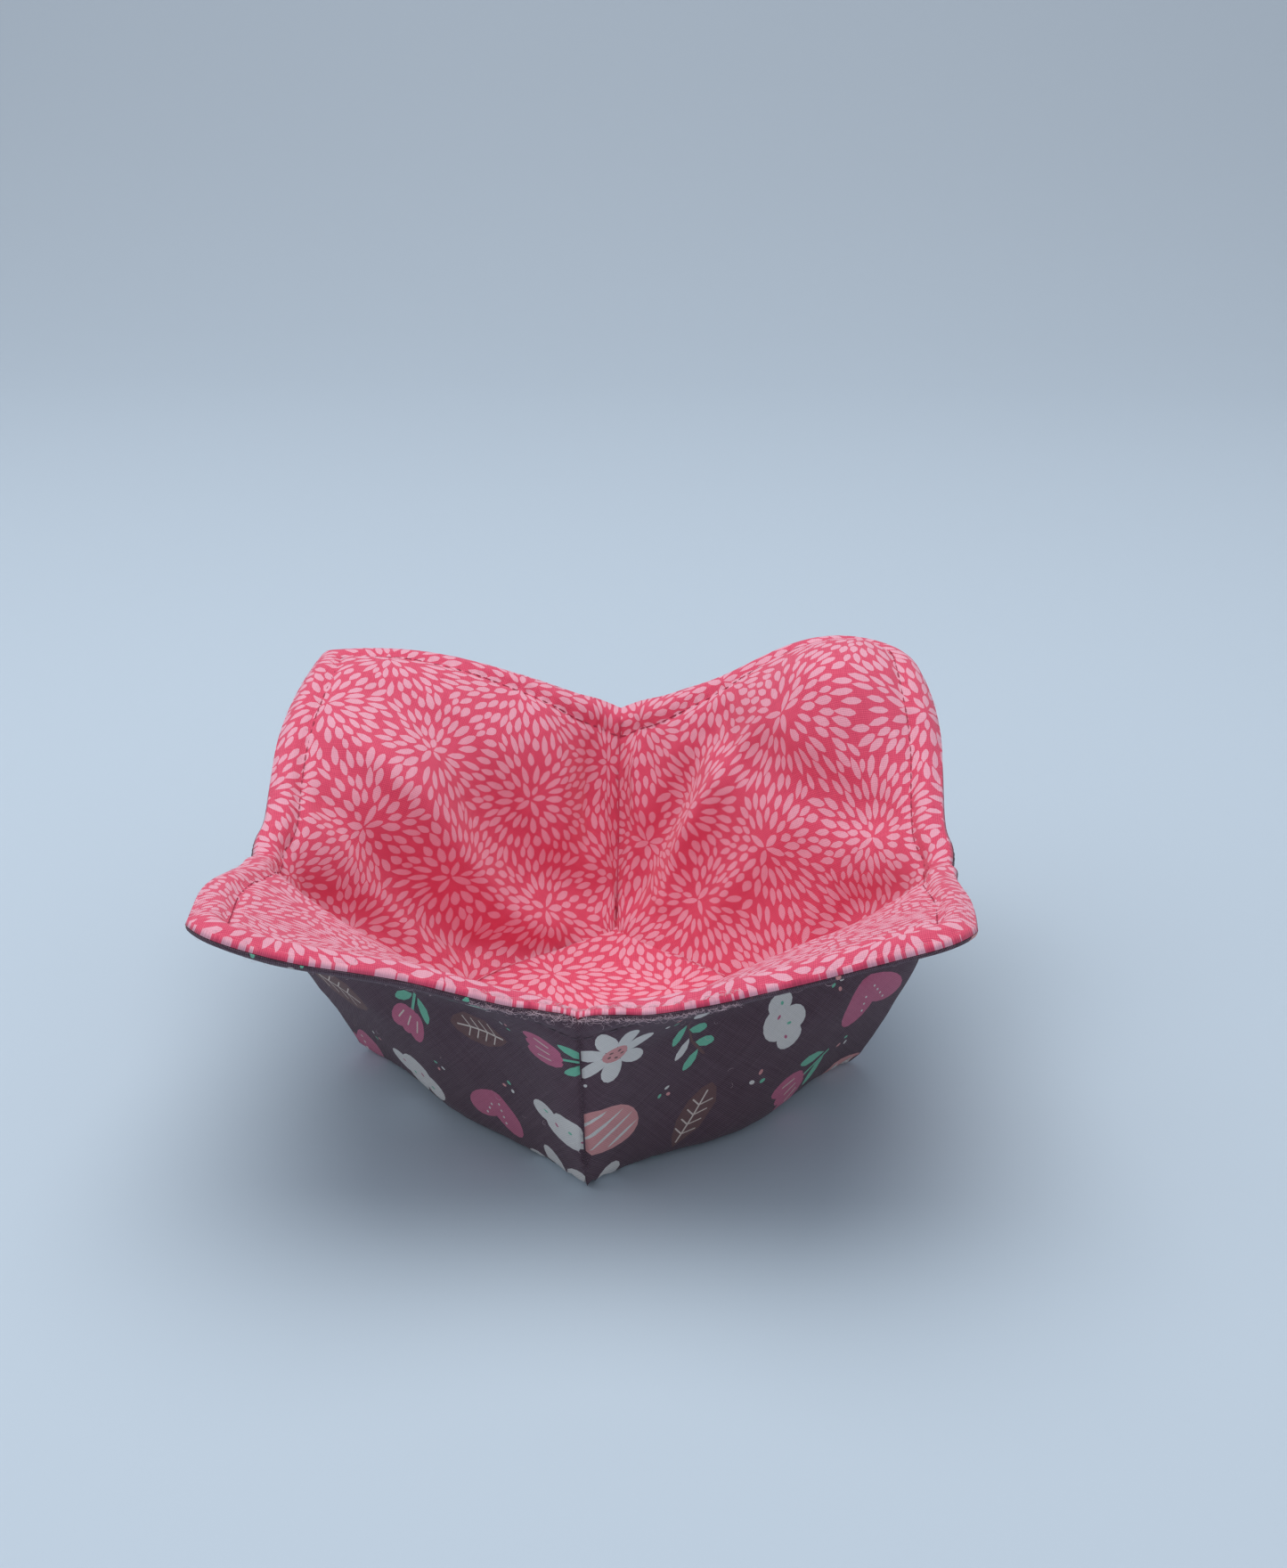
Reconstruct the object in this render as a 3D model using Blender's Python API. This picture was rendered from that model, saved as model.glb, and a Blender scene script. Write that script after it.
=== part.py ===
# Quilted bowl cozy: two squares of fabric with batting between them, darted at the
# middle of each side, joined at the rim and topstitched. Metres, +Z up, front at -Y.
# The base rests on z = 0 and its centre is the origin.

import bpy
import numpy as np

# Cutting and sewing sizes
SQUARE_SIDE = 0.254
SEAM_ALLOWANCE = 0.00635
DART_LENGTH = 0.058
DART_HALF_WIDTH = 0.030
FRONT_CORNER_ROUND = 0.012
BACK_LEFT_CORNER_ROUND = 0.004
BACK_RIGHT_CORNER_ROUND = 0.020
DART_TOP_FAIRING = 0.035
DART_ROUND = 0.012

# Layers
FABRIC_THICKNESS = 0.0005
BATTING_THICKNESS = 0.0018
LAYER_GAP = 0.0003

# Rim and topstitch
STITCH_INSET = 0.0085
STITCH_PINCH = 0.0008
STITCH_GROOVE = 0.0016
SEAM_ROLL = 0.00165
SEAM_ROLL_REACH = 0.0045
LINING_ROUNDING = 0.0065
OUTER_ROUNDING = 0.0016
TURNED_EDGE = 0.0037
TURNED_EDGE_STEP = 0.0005
BATTING_SETBACK = 0.0010

# Edge of the base: softness of the crease, and how far the padding pushes it out
CREASE_SOFTNESS = 0.005
BULGE_HEIGHT = 0.024
SIDE_BULGE = 0.004
FRONT_RIGHT_BULGE = 0.009
RIGHT_BULGE = 0.003
LEFT_BELLY = 0.005
RIGHT_BELLY = 0.005
CORNER_BELLY = 0.002

# Flare of each corner: angle above level where the roll ends, and at the tip
ROLL_LENGTH = 0.022
FRONT_ROLL_START = -0.022
BACK_ROLL_START = -0.0095
FRONT_LEFT_ROLL = 34.0
FRONT_LEFT_TIP = 31.2
FRONT_RIGHT_ROLL = 35.6
FRONT_RIGHT_TIP = 24.7
BACK_LEFT_ROLL = 47.0
BACK_LEFT_TIP = -9.6
BACK_RIGHT_ROLL = 62.7
BACK_RIGHT_TIP = -27.5

# Slack of the hand-sewn rim: how far the darts, the corners and the flanks between them
# stand up, and how far they stand out
RIGHT_RISE = -0.0056
BACK_RIGHT_RISE = 0.0071
BACK_RISE = -0.0008
BACK_LEFT_RISE = 0.0014
LEFT_RISE = -0.0067
FRONT_LEFT_RISE = -0.0039
FRONT_RISE = -0.0058
FRONT_RIGHT_RISE = -0.0008
RIGHT_BACK_FLANK_RISE = -0.0038
BACK_RIGHT_FLANK_RISE = -0.0032
BACK_LEFT_FLANK_RISE = -0.0003
LEFT_BACK_FLANK_RISE = -0.002
LEFT_FRONT_FLANK_RISE = 0.0022
FRONT_LEFT_FLANK_RISE = 0.0026
RIGHT_FRONT_FLANK_RISE = 0.001
RIGHT_NOTCH_RISE = 0.0011
BACK_NOTCH_RISE = 0.0016
LEFT_NOTCH_RISE = 0.0007
FRONT_NOTCH_RISE = 0.0019
RIGHT_REACH = 0.0025
RIGHT_BACK_FLANK_REACH = 0.0035
BACK_RIGHT_REACH = -0.0004
BACK_RIGHT_FLANK_REACH = -0.0011
BACK_REACH = -0.0007
BACK_LEFT_FLANK_REACH = -0.0003
BACK_LEFT_REACH = 0.0014
LEFT_BACK_FLANK_REACH = 0.0045
LEFT_REACH = 0.0032
LEFT_FRONT_FLANK_REACH = 0.0039
FRONT_LEFT_REACH = 0.0014
FRONT_LEFT_FLANK_REACH = -0.0013
FRONT_REACH = -0.0026
FRONT_RIGHT_FLANK_REACH = -0.0013
FRONT_RIGHT_REACH = 0.0007
RIGHT_FRONT_FLANK_REACH = 0.0015

# Sizes worked out from those above
ROOT2 = np.sqrt(2.0)
HALF_SIDE = SQUARE_SIDE / 2 - SEAM_ALLOWANCE
BASE_TIP = HALF_SIDE - DART_LENGTH
WALL = 2 * FABRIC_THICKNESS + 2 * BATTING_THICKNESS + 3 * LAYER_GAP
CREASE_N = BASE_TIP / ROOT2
DART_TOP_N = (HALF_SIDE + DART_HALF_WIDTH) / ROOT2
CORNER_N = HALF_SIDE * ROOT2
LEAN_COS = (DART_LENGTH - DART_HALF_WIDTH) / (DART_LENGTH + DART_HALF_WIDTH)
LEAN = np.arccos(LEAN_COS)
DART_ANGLE = np.arctan2(DART_HALF_WIDTH, DART_LENGTH)
FAIRED_TOP = DART_TOP_FAIRING * (1 - np.cos(DART_ANGLE)) * (1 + DART_HALF_WIDTH / DART_LENGTH) / ROOT2
RISE_HEIGHT = np.sin(LEAN) * (DART_TOP_N - CREASE_N)
SEAM_BLEND = 1.6 * WALL

CORNERS = {
    (-1, -1): (FRONT_LEFT_ROLL, FRONT_LEFT_TIP, FRONT_ROLL_START),
    (1, -1): (FRONT_RIGHT_ROLL, FRONT_RIGHT_TIP, FRONT_ROLL_START),
    (-1, 1): (BACK_LEFT_ROLL, BACK_LEFT_TIP, BACK_ROLL_START),
    (1, 1): (BACK_RIGHT_ROLL, BACK_RIGHT_TIP, BACK_ROLL_START),
}
CORNER_ROUNDS = {(-1, -1): FRONT_CORNER_ROUND, (1, -1): FRONT_CORNER_ROUND,
                 (-1, 1): BACK_LEFT_CORNER_ROUND, (1, 1): BACK_RIGHT_CORNER_ROUND}
# Degrees round from +X and the value there
RISES = {0: RIGHT_RISE, 45: BACK_RIGHT_RISE, 90: BACK_RISE, 135: BACK_LEFT_RISE,
         180: LEFT_RISE, 225: FRONT_LEFT_RISE, 270: FRONT_RISE, 315: FRONT_RIGHT_RISE}
FLANK_RISES = {22.5: RIGHT_BACK_FLANK_RISE, 67.5: BACK_RIGHT_FLANK_RISE, 112.5: BACK_LEFT_FLANK_RISE,
               157.5: LEFT_BACK_FLANK_RISE, 202.5: LEFT_FRONT_FLANK_RISE, 247.5: FRONT_LEFT_FLANK_RISE,
               337.5: RIGHT_FRONT_FLANK_RISE}
NOTCH_RISES = {0: RIGHT_NOTCH_RISE, 90: BACK_NOTCH_RISE, 180: LEFT_NOTCH_RISE, 270: FRONT_NOTCH_RISE}
REACHES = {0: RIGHT_REACH, 22.5: RIGHT_BACK_FLANK_REACH, 45: BACK_RIGHT_REACH, 67.5: BACK_RIGHT_FLANK_REACH,
           90: BACK_REACH, 112.5: BACK_LEFT_FLANK_REACH, 135: BACK_LEFT_REACH, 157.5: LEFT_BACK_FLANK_REACH,
           180: LEFT_REACH, 202.5: LEFT_FRONT_FLANK_REACH, 225: FRONT_LEFT_REACH, 247.5: FRONT_LEFT_FLANK_REACH,
           270: FRONT_REACH, 292.5: FRONT_RIGHT_FLANK_REACH, 315: FRONT_RIGHT_REACH,
           337.5: RIGHT_FRONT_FLANK_REACH}
BULGES = {0: RIGHT_BULGE, 45: SIDE_BULGE, 135: SIDE_BULGE, 225: SIDE_BULGE, 315: FRONT_RIGHT_BULGE}
BELLIES = {0: RIGHT_BELLY, 45: CORNER_BELLY, 135: CORNER_BELLY, 180: LEFT_BELLY,
           225: CORNER_BELLY, 315: CORNER_BELLY}

# Rows of the mesh: shares of the way from the centre to the crease and from the
# crease to the rim band, then distances in from the rim
BASE_ROWS = (0.5, 0.8, 0.9, 1.0)
FLAP_ROWS = (0.12, 0.28, 0.46, 0.6, 0.74, 0.87, 1.0)
BAND_INSET = STITCH_INSET + 1.6 * STITCH_GROOVE
STEP_INSET = TURNED_EDGE + TURNED_EDGE_STEP
BATTING_INSET = STEP_INSET + BATTING_SETBACK
BATTING_BAND = (STITCH_INSET, STITCH_INSET - 1.25 * STITCH_GROOVE, BATTING_INSET)
FABRIC_BAND = BATTING_BAND + (STEP_INSET, TURNED_EDGE, WALL / 4, WALL / 16, 0.0)
SIDE_SHARES = (0.0, 0.25, 0.5, 0.75, 1.0)


def ease(x):
    x = np.clip(x, 0.0, 1.0)
    return x * x * (3 - 2 * x)


def round_the_bowl(values, spacing, angle):
    """A smooth value at an angle, from values at even spacings, zero where none is named."""
    count = int(round(360 / spacing))
    table = np.array([values.get(spacing * i, 0.0) for i in range(count)])
    place = (np.degrees(angle) / spacing) % count
    low = np.floor(place).astype(int) % count
    share = ease(place - np.floor(place))
    return table[low] * (1 - share) + table[(low + 1) % count] * share


def rounded_by(radius, beside):
    """How far a square corner gives way to an arc, at a distance beside the corner."""
    beside = np.minimum(np.abs(beside), radius / ROOT2)
    return np.sqrt(radius ** 2 - beside ** 2) - radius * ROOT2 + beside


def middle_surface(quadrant, flat):
    """The middle of the wall for points of the flat square, folded up by the darts."""
    sx, sy = quadrant
    roll, tip, roll_start = CORNERS[quadrant]
    n = (flat[:, 0] + flat[:, 1]) / ROOT2
    m = (flat[:, 1] - flat[:, 0]) / ROOT2
    past = n - CREASE_N
    top_half_width = CREASE_N + (DART_TOP_N - CREASE_N) * LEAN_COS
    side = np.clip(np.abs(m) / top_half_width, 0, 1) ** 3
    start = DART_TOP_N + roll_start + (FAIRED_TOP - roll_start) * side
    steps = 40
    along = np.linspace(0, 1, steps)[:, None] * np.maximum(past, 0)[None, :] + CREASE_N
    rolled = ease((along - start) / ROLL_LENGTH)
    tipped = ease((along - start) / (CORNER_N - start))
    roll, tip = np.radians(roll), np.radians(tip)
    slope = LEAN + (roll - LEAN) * rolled + (tip - roll) * tipped
    step = np.maximum(past, 0) / (steps - 1)
    cosines = np.cos(slope)
    sines = np.sin(slope)
    out = CREASE_N + ((cosines[1:] + cosines[:-1]) / 2).sum(0) * step
    up = ((sines[1:] + sines[:-1]) / 2).sum(0) * step
    out = np.where(past > 0, out, n)
    # the crease at the edge of the base is soft
    k = CREASE_SOFTNESS * np.clip(1 - (m / CREASE_N) ** 2, 0, 1) + 1e-9
    soft = np.where(past < -k, 0, np.where(past > k, past, (past + k) ** 2 / (4 * k)))
    change = soft - np.maximum(past, 0)
    out = out - (1 - LEAN_COS) * change
    up = np.where(past > 0, up, 0) + np.sin(LEAN) * change
    x = (out - m) / ROOT2
    y = (out + m) / ROOT2
    # the padding rounds the wall off at each dart, more towards the rim
    share = np.clip(up / RISE_HEIGHT, 0, 1.35)
    arc = DART_ROUND * ease(share) + 1e-4
    x, y = x + rounded_by(arc, y) * (x >= y), y + rounded_by(arc, x) * (y > x)
    x, y = sx * x, sy * y
    # bulge low down and slack of the rim
    angle = np.arctan2(y, x)
    radius = np.hypot(x, y) + 1e-9
    high = share ** 2
    middle = 4 * ease(share) * (1 - ease(share))
    low = np.exp(-(up / BULGE_HEIGHT) ** 2) * ease(radius / CREASE_N)
    push = high * round_the_bowl(REACHES, 22.5, angle)
    push = push + middle * round_the_bowl(BELLIES, 45, angle)
    push = push + low * round_the_bowl(BULGES, 45, angle)
    lift = high * (round_the_bowl(RISES, 45, angle) + round_the_bowl(FLANK_RISES, 22.5, angle)
                   + round_the_bowl(NOTCH_RISES, 11.25, angle))
    reach = 1 + push / radius
    return np.stack([x * reach, y * reach, up + lift + WALL / 2], axis=1)


def inward(quadrant, flat):
    """Unit vectors towards the inside of the bowl, turned to meet at the dart seams."""
    eps = 1e-5
    du = middle_surface(quadrant, flat + (eps, 0)) - middle_surface(quadrant, flat - (eps, 0))
    dv = middle_surface(quadrant, flat + (0, eps)) - middle_surface(quadrant, flat - (0, eps))
    normal = np.cross(du, dv) * quadrant[0] * quadrant[1]
    normal /= np.linalg.norm(normal, axis=1)[:, None]
    place = middle_surface(quadrant, flat)
    turned = normal.copy()
    turned[:, 0] *= ease(np.abs(place[:, 0]) / SEAM_BLEND)
    turned[:, 1] *= ease(np.abs(place[:, 1]) / SEAM_BLEND)
    turned /= np.linalg.norm(turned, axis=1)[:, None]
    even = np.clip((turned * normal).sum(1), 0.74, 1)
    return turned / even[:, None]


def rim_line(quadrant, inset):
    """Flat points on the rim, moved in by inset, from one dart round the corner to the other."""
    edge = HALF_SIDE - inset
    fairing = DART_TOP_FAIRING + inset
    corner = max(CORNER_ROUNDS[quadrant] - inset, 0.0005)
    cross_x = edge + fairing * (1 - np.cos(DART_ANGLE))
    cross_y = DART_HALF_WIDTH * (cross_x - BASE_TIP) / DART_LENGTH
    first = cross_y + fairing * np.sin(DART_ANGLE)
    last = edge - CORNER_ROUNDS[quadrant]
    half = [(cross_x, cross_y)]
    half += [(edge, first + (last - first) * share) for share in SIDE_SHARES]
    middle = edge - corner + corner * np.sqrt(0.5)
    back = [(y, x) for x, y in reversed(half)]
    return np.array(half + [(middle, middle)] + back)


def flat_rows(quadrant, band):
    """Rows of flat points from the centre of the base out to the rim."""
    inner = rim_line(quadrant, BAND_INSET)
    m = (inner[:, 1] - inner[:, 0]) / ROOT2
    share = m / np.abs(m).max()
    crease = np.stack([(1 - share) / 2, (1 + share) / 2], axis=1) * BASE_TIP
    rows = [crease * t for t in BASE_ROWS]
    rows += [crease + (inner - crease) * t for t in FLAP_ROWS]
    rows += [rim_line(quadrant, inset) for inset in band]
    insets = [1.0] * len(BASE_ROWS + FLAP_ROWS) + list(band)
    return rows, insets


def seam_side(inset):
    """Where the seam between the fabrics lies: along the rim it rolls to the outer side."""
    return -SEAM_ROLL * (1 - ease(inset / SEAM_ROLL_REACH))


def face_height(inset, seam, rounding):
    """How far a fabric's face lies from the middle of the wall: rounded at the rim from
    the seam on, pinched at the topstitch."""
    edge = seam + LAYER_GAP / 2 + FABRIC_THICKNESS
    pinch = STITCH_PINCH * np.exp(-((inset - STITCH_INSET) / STITCH_GROOVE) ** 2)
    return edge + (WALL / 2 - edge) * np.sqrt(1 - (1 - min(inset / rounding, 1.0)) ** 2) - pinch


def outer_height(inset):
    return face_height(inset, -seam_side(inset), OUTER_ROUNDING)


def lining_height(inset):
    return face_height(inset, seam_side(inset), LINING_ROUNDING)


# Where the two faces of each layer lie, measured from the middle of the wall
def outer_faces(inset):
    face = -outer_height(inset)
    if inset <= TURNED_EDGE:
        return face, seam_side(inset) - LAYER_GAP / 2
    return face, face + FABRIC_THICKNESS


def lining_faces(inset):
    face = lining_height(inset)
    if inset <= TURNED_EDGE:
        return seam_side(inset) + LAYER_GAP / 2, face
    return face - FABRIC_THICKNESS, face


def outer_batting_faces(inset):
    return FABRIC_THICKNESS + LAYER_GAP - outer_height(inset), -LAYER_GAP / 2


def lining_batting_faces(inset):
    return LAYER_GAP / 2, lining_height(inset) - FABRIC_THICKNESS - LAYER_GAP


def add_layer(name, faces_at, band, material):
    """One closed body: an inner face, an outer face and the strip at the rim."""
    last_row = len(BASE_ROWS + FLAP_ROWS + band)
    columns = len(rim_line((1, 1), 0.0))
    vertices = []
    number = {}

    def vertex(key, point):
        if key not in number:
            number[key] = len(vertices)
            vertices.append(tuple(point))
        return number[key]

    def key_of(quadrant, row, column, face):
        if column == 0:
            return ("x", quadrant[0], row, face)
        if column == columns - 1:
            return ("y", quadrant[1], row, face)
        return (quadrant, row, column, face)

    centre = [vertex(("centre", face), (0, 0, WALL / 2 + faces_at(1.0)[face])) for face in (0, 1)]
    grids = {}
    for quadrant in CORNERS:
        rows, insets = flat_rows(quadrant, band)
        for row, (flat, inset) in enumerate(zip(rows, insets), start=1):
            place = middle_surface(quadrant, flat)
            normal = inward(quadrant, flat)
            for face, offset in enumerate(faces_at(inset)):
                points = place + normal * offset
                for column, point in enumerate(points):
                    grids[quadrant, row, column, face] = vertex(
                        key_of(quadrant, row, column, face), point)
    triangles = []

    def triangle(a, b, c, flip):
        triangles.append((a, c, b) if flip else (a, b, c))

    for quadrant in CORNERS:
        mirrored = quadrant[0] * quadrant[1] < 0
        for column in range(columns - 1):
            for face in (0, 1):
                flip = mirrored != (face == 0)
                a = grids[quadrant, 1, column, face]
                b = grids[quadrant, 1, column + 1, face]
                triangle(centre[face], a, b, flip)
                for row in range(1, last_row):
                    a = grids[quadrant, row, column, face]
                    b = grids[quadrant, row + 1, column, face]
                    c = grids[quadrant, row + 1, column + 1, face]
                    d = grids[quadrant, row, column + 1, face]
                    if column < (columns - 1) / 2:
                        triangle(a, b, c, flip)
                        triangle(a, c, d, flip)
                    else:
                        triangle(a, b, d, flip)
                        triangle(b, c, d, flip)
            low = [grids[quadrant, last_row, column + i, 0] for i in (0, 1)]
            high = [grids[quadrant, last_row, column + i, 1] for i in (0, 1)]
            triangle(low[0], low[1], high[1], mirrored)
            triangle(low[0], high[1], high[0], mirrored)
    mesh = bpy.data.meshes.new(name)
    mesh.from_pydata(vertices, [], triangles)
    mesh.materials.append(material)
    for polygon in mesh.polygons:
        polygon.use_smooth = True
    part = bpy.data.objects.new(name, mesh)
    bpy.context.scene.collection.objects.link(part)
    return part


def cloth_material(name, colour, roughness):
    material = bpy.data.materials.new(name)
    material.use_nodes = True
    shader = material.node_tree.nodes["Principled BSDF"]
    shader.inputs["Base Color"].default_value = (*colour, 1.0)
    shader.inputs["Roughness"].default_value = roughness
    return material


for leftover in list(bpy.data.objects):
    bpy.data.objects.remove(leftover, do_unlink=True)

outer_cloth = cloth_material("outer_cloth", (0.058, 0.039, 0.052), 0.85)
lining_cloth = cloth_material("lining_cloth", (0.68, 0.075, 0.14), 0.85)
outer_wadding = cloth_material("outer_wadding", (0.78, 0.75, 0.68), 0.95)
lining_wadding = cloth_material("lining_wadding", (0.80, 0.77, 0.70), 0.95)

add_layer("outer_shell", outer_faces, FABRIC_BAND, outer_cloth)
add_layer("outer_batting", outer_batting_faces, BATTING_BAND, outer_wadding)
add_layer("lining_batting", lining_batting_faces, BATTING_BAND, lining_wadding)
add_layer("lining", lining_faces, FABRIC_BAND, lining_cloth)
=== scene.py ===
"""A padded bowl cozy: two squares of printed cloth with batting between, darted at the
middle of each side, sewn together at the rim, turned and topstitched."""

import math

import bpy
import numpy as np
from mathutils import Matrix, Vector, noise
from mathutils.geometry import delaunay_2d_cdt


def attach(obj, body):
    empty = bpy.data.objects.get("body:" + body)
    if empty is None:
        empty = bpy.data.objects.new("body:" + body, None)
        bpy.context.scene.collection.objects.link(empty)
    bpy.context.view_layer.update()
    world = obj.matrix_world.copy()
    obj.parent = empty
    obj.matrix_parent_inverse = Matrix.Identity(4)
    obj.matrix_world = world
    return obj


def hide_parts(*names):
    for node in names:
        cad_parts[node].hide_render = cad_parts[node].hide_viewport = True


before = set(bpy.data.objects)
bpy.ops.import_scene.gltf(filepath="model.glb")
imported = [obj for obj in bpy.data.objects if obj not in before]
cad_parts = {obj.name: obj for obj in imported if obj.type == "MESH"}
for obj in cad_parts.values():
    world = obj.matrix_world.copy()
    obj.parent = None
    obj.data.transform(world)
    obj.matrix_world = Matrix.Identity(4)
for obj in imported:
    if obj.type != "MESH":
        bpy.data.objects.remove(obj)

bl_info = {
    "name": "Bowl cozy",
    "version": (1, 0, 0),
    "blender": (4, 5, 0),
    "location": "3D View > Sidebar > Bowl cozy",
    "description": "Builds a darted, padded bowl cozy in printed cloth, with its topstitching",
    "category": "Add Mesh",
}

ROOT2 = math.sqrt(2.0)
QUARTERS = ((-1, -1), (1, -1), (-1, 1), (1, 1))

# Flare of each corner: angle above level where the roll ends, angle at the tip, start of the roll
FLARES = {
    (-1, -1): (34.0, 31.2, -0.022),
    (1, -1): (35.6, 24.7, -0.022),
    (-1, 1): (47.0, -9.6, -0.0095),
    (1, 1): (62.7, -27.5, -0.0095),
}
# Each corner's rounding, as a share of the size in the sidebar
CORNER_SHARES = {(-1, -1): 1.0, (1, -1): 1.0, (-1, 1): 0.33, (1, 1): 1.67}
# Slack that lifts or lowers the rim, in metres, by degrees round from +X
RISES = {0: -0.0056, 45: 0.0071, 90: -0.0008, 135: 0.0014,
         180: -0.0067, 225: -0.0039, 270: -0.0058, 315: -0.0008}
FLANK_RISES = {22.5: -0.0038, 67.5: -0.0032, 112.5: -0.0003, 157.5: -0.002,
               202.5: 0.0022, 247.5: 0.0026, 337.5: 0.001}
NOTCH_RISES = {0: 0.0011, 90: 0.0016, 180: 0.0007, 270: 0.0019}
# Slack that moves the wall out, at the rim, halfway up and just above the base
REACHES = {0: 0.0025, 22.5: 0.0035, 45: -0.0004, 67.5: -0.0011, 90: -0.0007, 112.5: -0.0003, 135: 0.0014,
           157.5: 0.0045, 180: 0.0032, 202.5: 0.0039, 225: 0.0014, 247.5: -0.0013, 270: -0.0026,
           292.5: -0.0013, 315: 0.0007, 337.5: 0.0015}
BELLIES = {0: 0.005, 45: 0.002, 135: 0.002, 180: 0.005, 225: 0.002, 315: 0.002}
BULGES = {0: 0.003, 45: 0.004, 135: 0.004, 225: 0.004, 315: 0.009}
# Soft folds of the padded lining: (flat millimetres along the fold), height in mm, width in mm
FOLDS = (
    (((-112, 58), (-88.8, 50), (-66.4, 41.5), (-46.4, 36.5), (-29.6, 41), (-18.4, 51)), -5.7, 4.7),
    (((-108, 77), (-85.6, 66.5), (-61.6, 56), (-41.6, 50.5), (-24, 52)), 5.2, 5.5),
    (((-97, 93), (-76.8, 84), (-60.8, 74.4), (-38, 66), (-16, 69)), -4.7, 6.8),
    (((-56, 106), (-44, 92), (-36, 80)), 2.9, 5.1),
    (((-38, 108), (-31, 96), (-24.8, 84)), -3.1, 3.8),
    (((58, 99), (38.4, 88), (24.8, 80), (13, 70)), -6.0, 4.2),
    (((68, 86), (53, 80), (40, 74), (26, 63)), 4.9, 4.7),
    (((64, 103), (67.2, 85), (77.6, 70), (92, 60), (108, 54)), -4.7, 6.4),
    (((62, 58), (50, 55), (38, 50)), 3.1, 5.5),
    (((34, 114), (30, 104), (27, 94)), 2.6, 4.7),
    (((88, 96), (98, 84), (106, 76)), 2.1, 7.6),
    (((-100, 30), (-80, 30), (-62, 26)), -3.4, 5.1),
    (((100, 34), (82, 36), (66, 30)), -2.9, 5.1),
    (((-30, -96), (-52, -78), (-58, -60)), 1.6, 6.8),
    (((28, -98), (48, -82), (62, -58)), 1.6, 6.8),
    (((-84, -30), (-62, -42), (-42, -56)), -1.6, 6.0),
    (((82, -32), (60, -44), (44, -62)), -1.6, 6.0),
)

# The roll of the wall towards each corner, the bend round the base and the bulge above it, in metres
ROLL_LENGTH = 0.022
BEND_ROUND = 0.005
BULGE_HEIGHT = 0.024
# Height and length of the ripples of the wall and the cloth, and where they have faded in, in metres
WALL_RIPPLE = (0.0006, 0.035)
CLOTH_RIPPLE = (0.0004, 0.016)
FINE_RIPPLE = (0.0002, 0.006)
SETTLE = 0.02
# Half the gap between the printed faces at the rim, and how much they part just in from it, in metres
RIM_GAP = 0.00018
RIM_PARTING = 0.00082
# The batting's distance from the rim, and its depth below the printed face, in metres
BATTING_INSET = 0.0055
BATTING_DEPTH = 0.0010
# How far the stitches and the lint lie above the printed face, in metres
STITCH_LIFT = 0.00008
LINT_LIFT = 0.00005
# Distances from the rim, in millimetres, and from a dart seam, in metres, of the cloths' rows of points
RIM_ROWS = (0.15, 0.45, 0.95, 1.6, 2.4, 3.4, 4.6, 5.8, 6.8, 7.7, 8.5, 9.3, 10.2, 11.4, 12.6)
SEAM_ROWS = (0.0005, 0.0011, 0.0019, 0.003)
# Gap between a printed shape and a dart seam, and between two petals, in flat millimetres
SEAM_GAP = 0.3
PETAL_GAP = 0.27


def ease(x):
    x = np.clip(x, 0.0, 1.0)
    return x * x * (3 - 2 * x)


def bell(x):
    return np.exp(-x * x)


def round_the_bowl(values, spacing, angle):
    """A smooth value at an angle, from values at even spacings, zero where none is named."""
    count = int(round(360 / spacing))
    table = np.array([values.get(spacing * i, 0.0) for i in range(count)])
    place = (np.degrees(angle) / spacing) % count
    low = np.floor(place).astype(int) % count
    share = ease(place - np.floor(place))
    return table[low] * (1 - share) + table[(low + 1) % count] * share


def in_quarter(flat, quarter):
    """Which flat points lie in a quarter of the cloth, named by its two signs."""
    return ((flat[:, 0] >= 0) == (quarter[0] > 0)) & ((flat[:, 1] >= 0) == (quarter[1] > 0))


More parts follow.
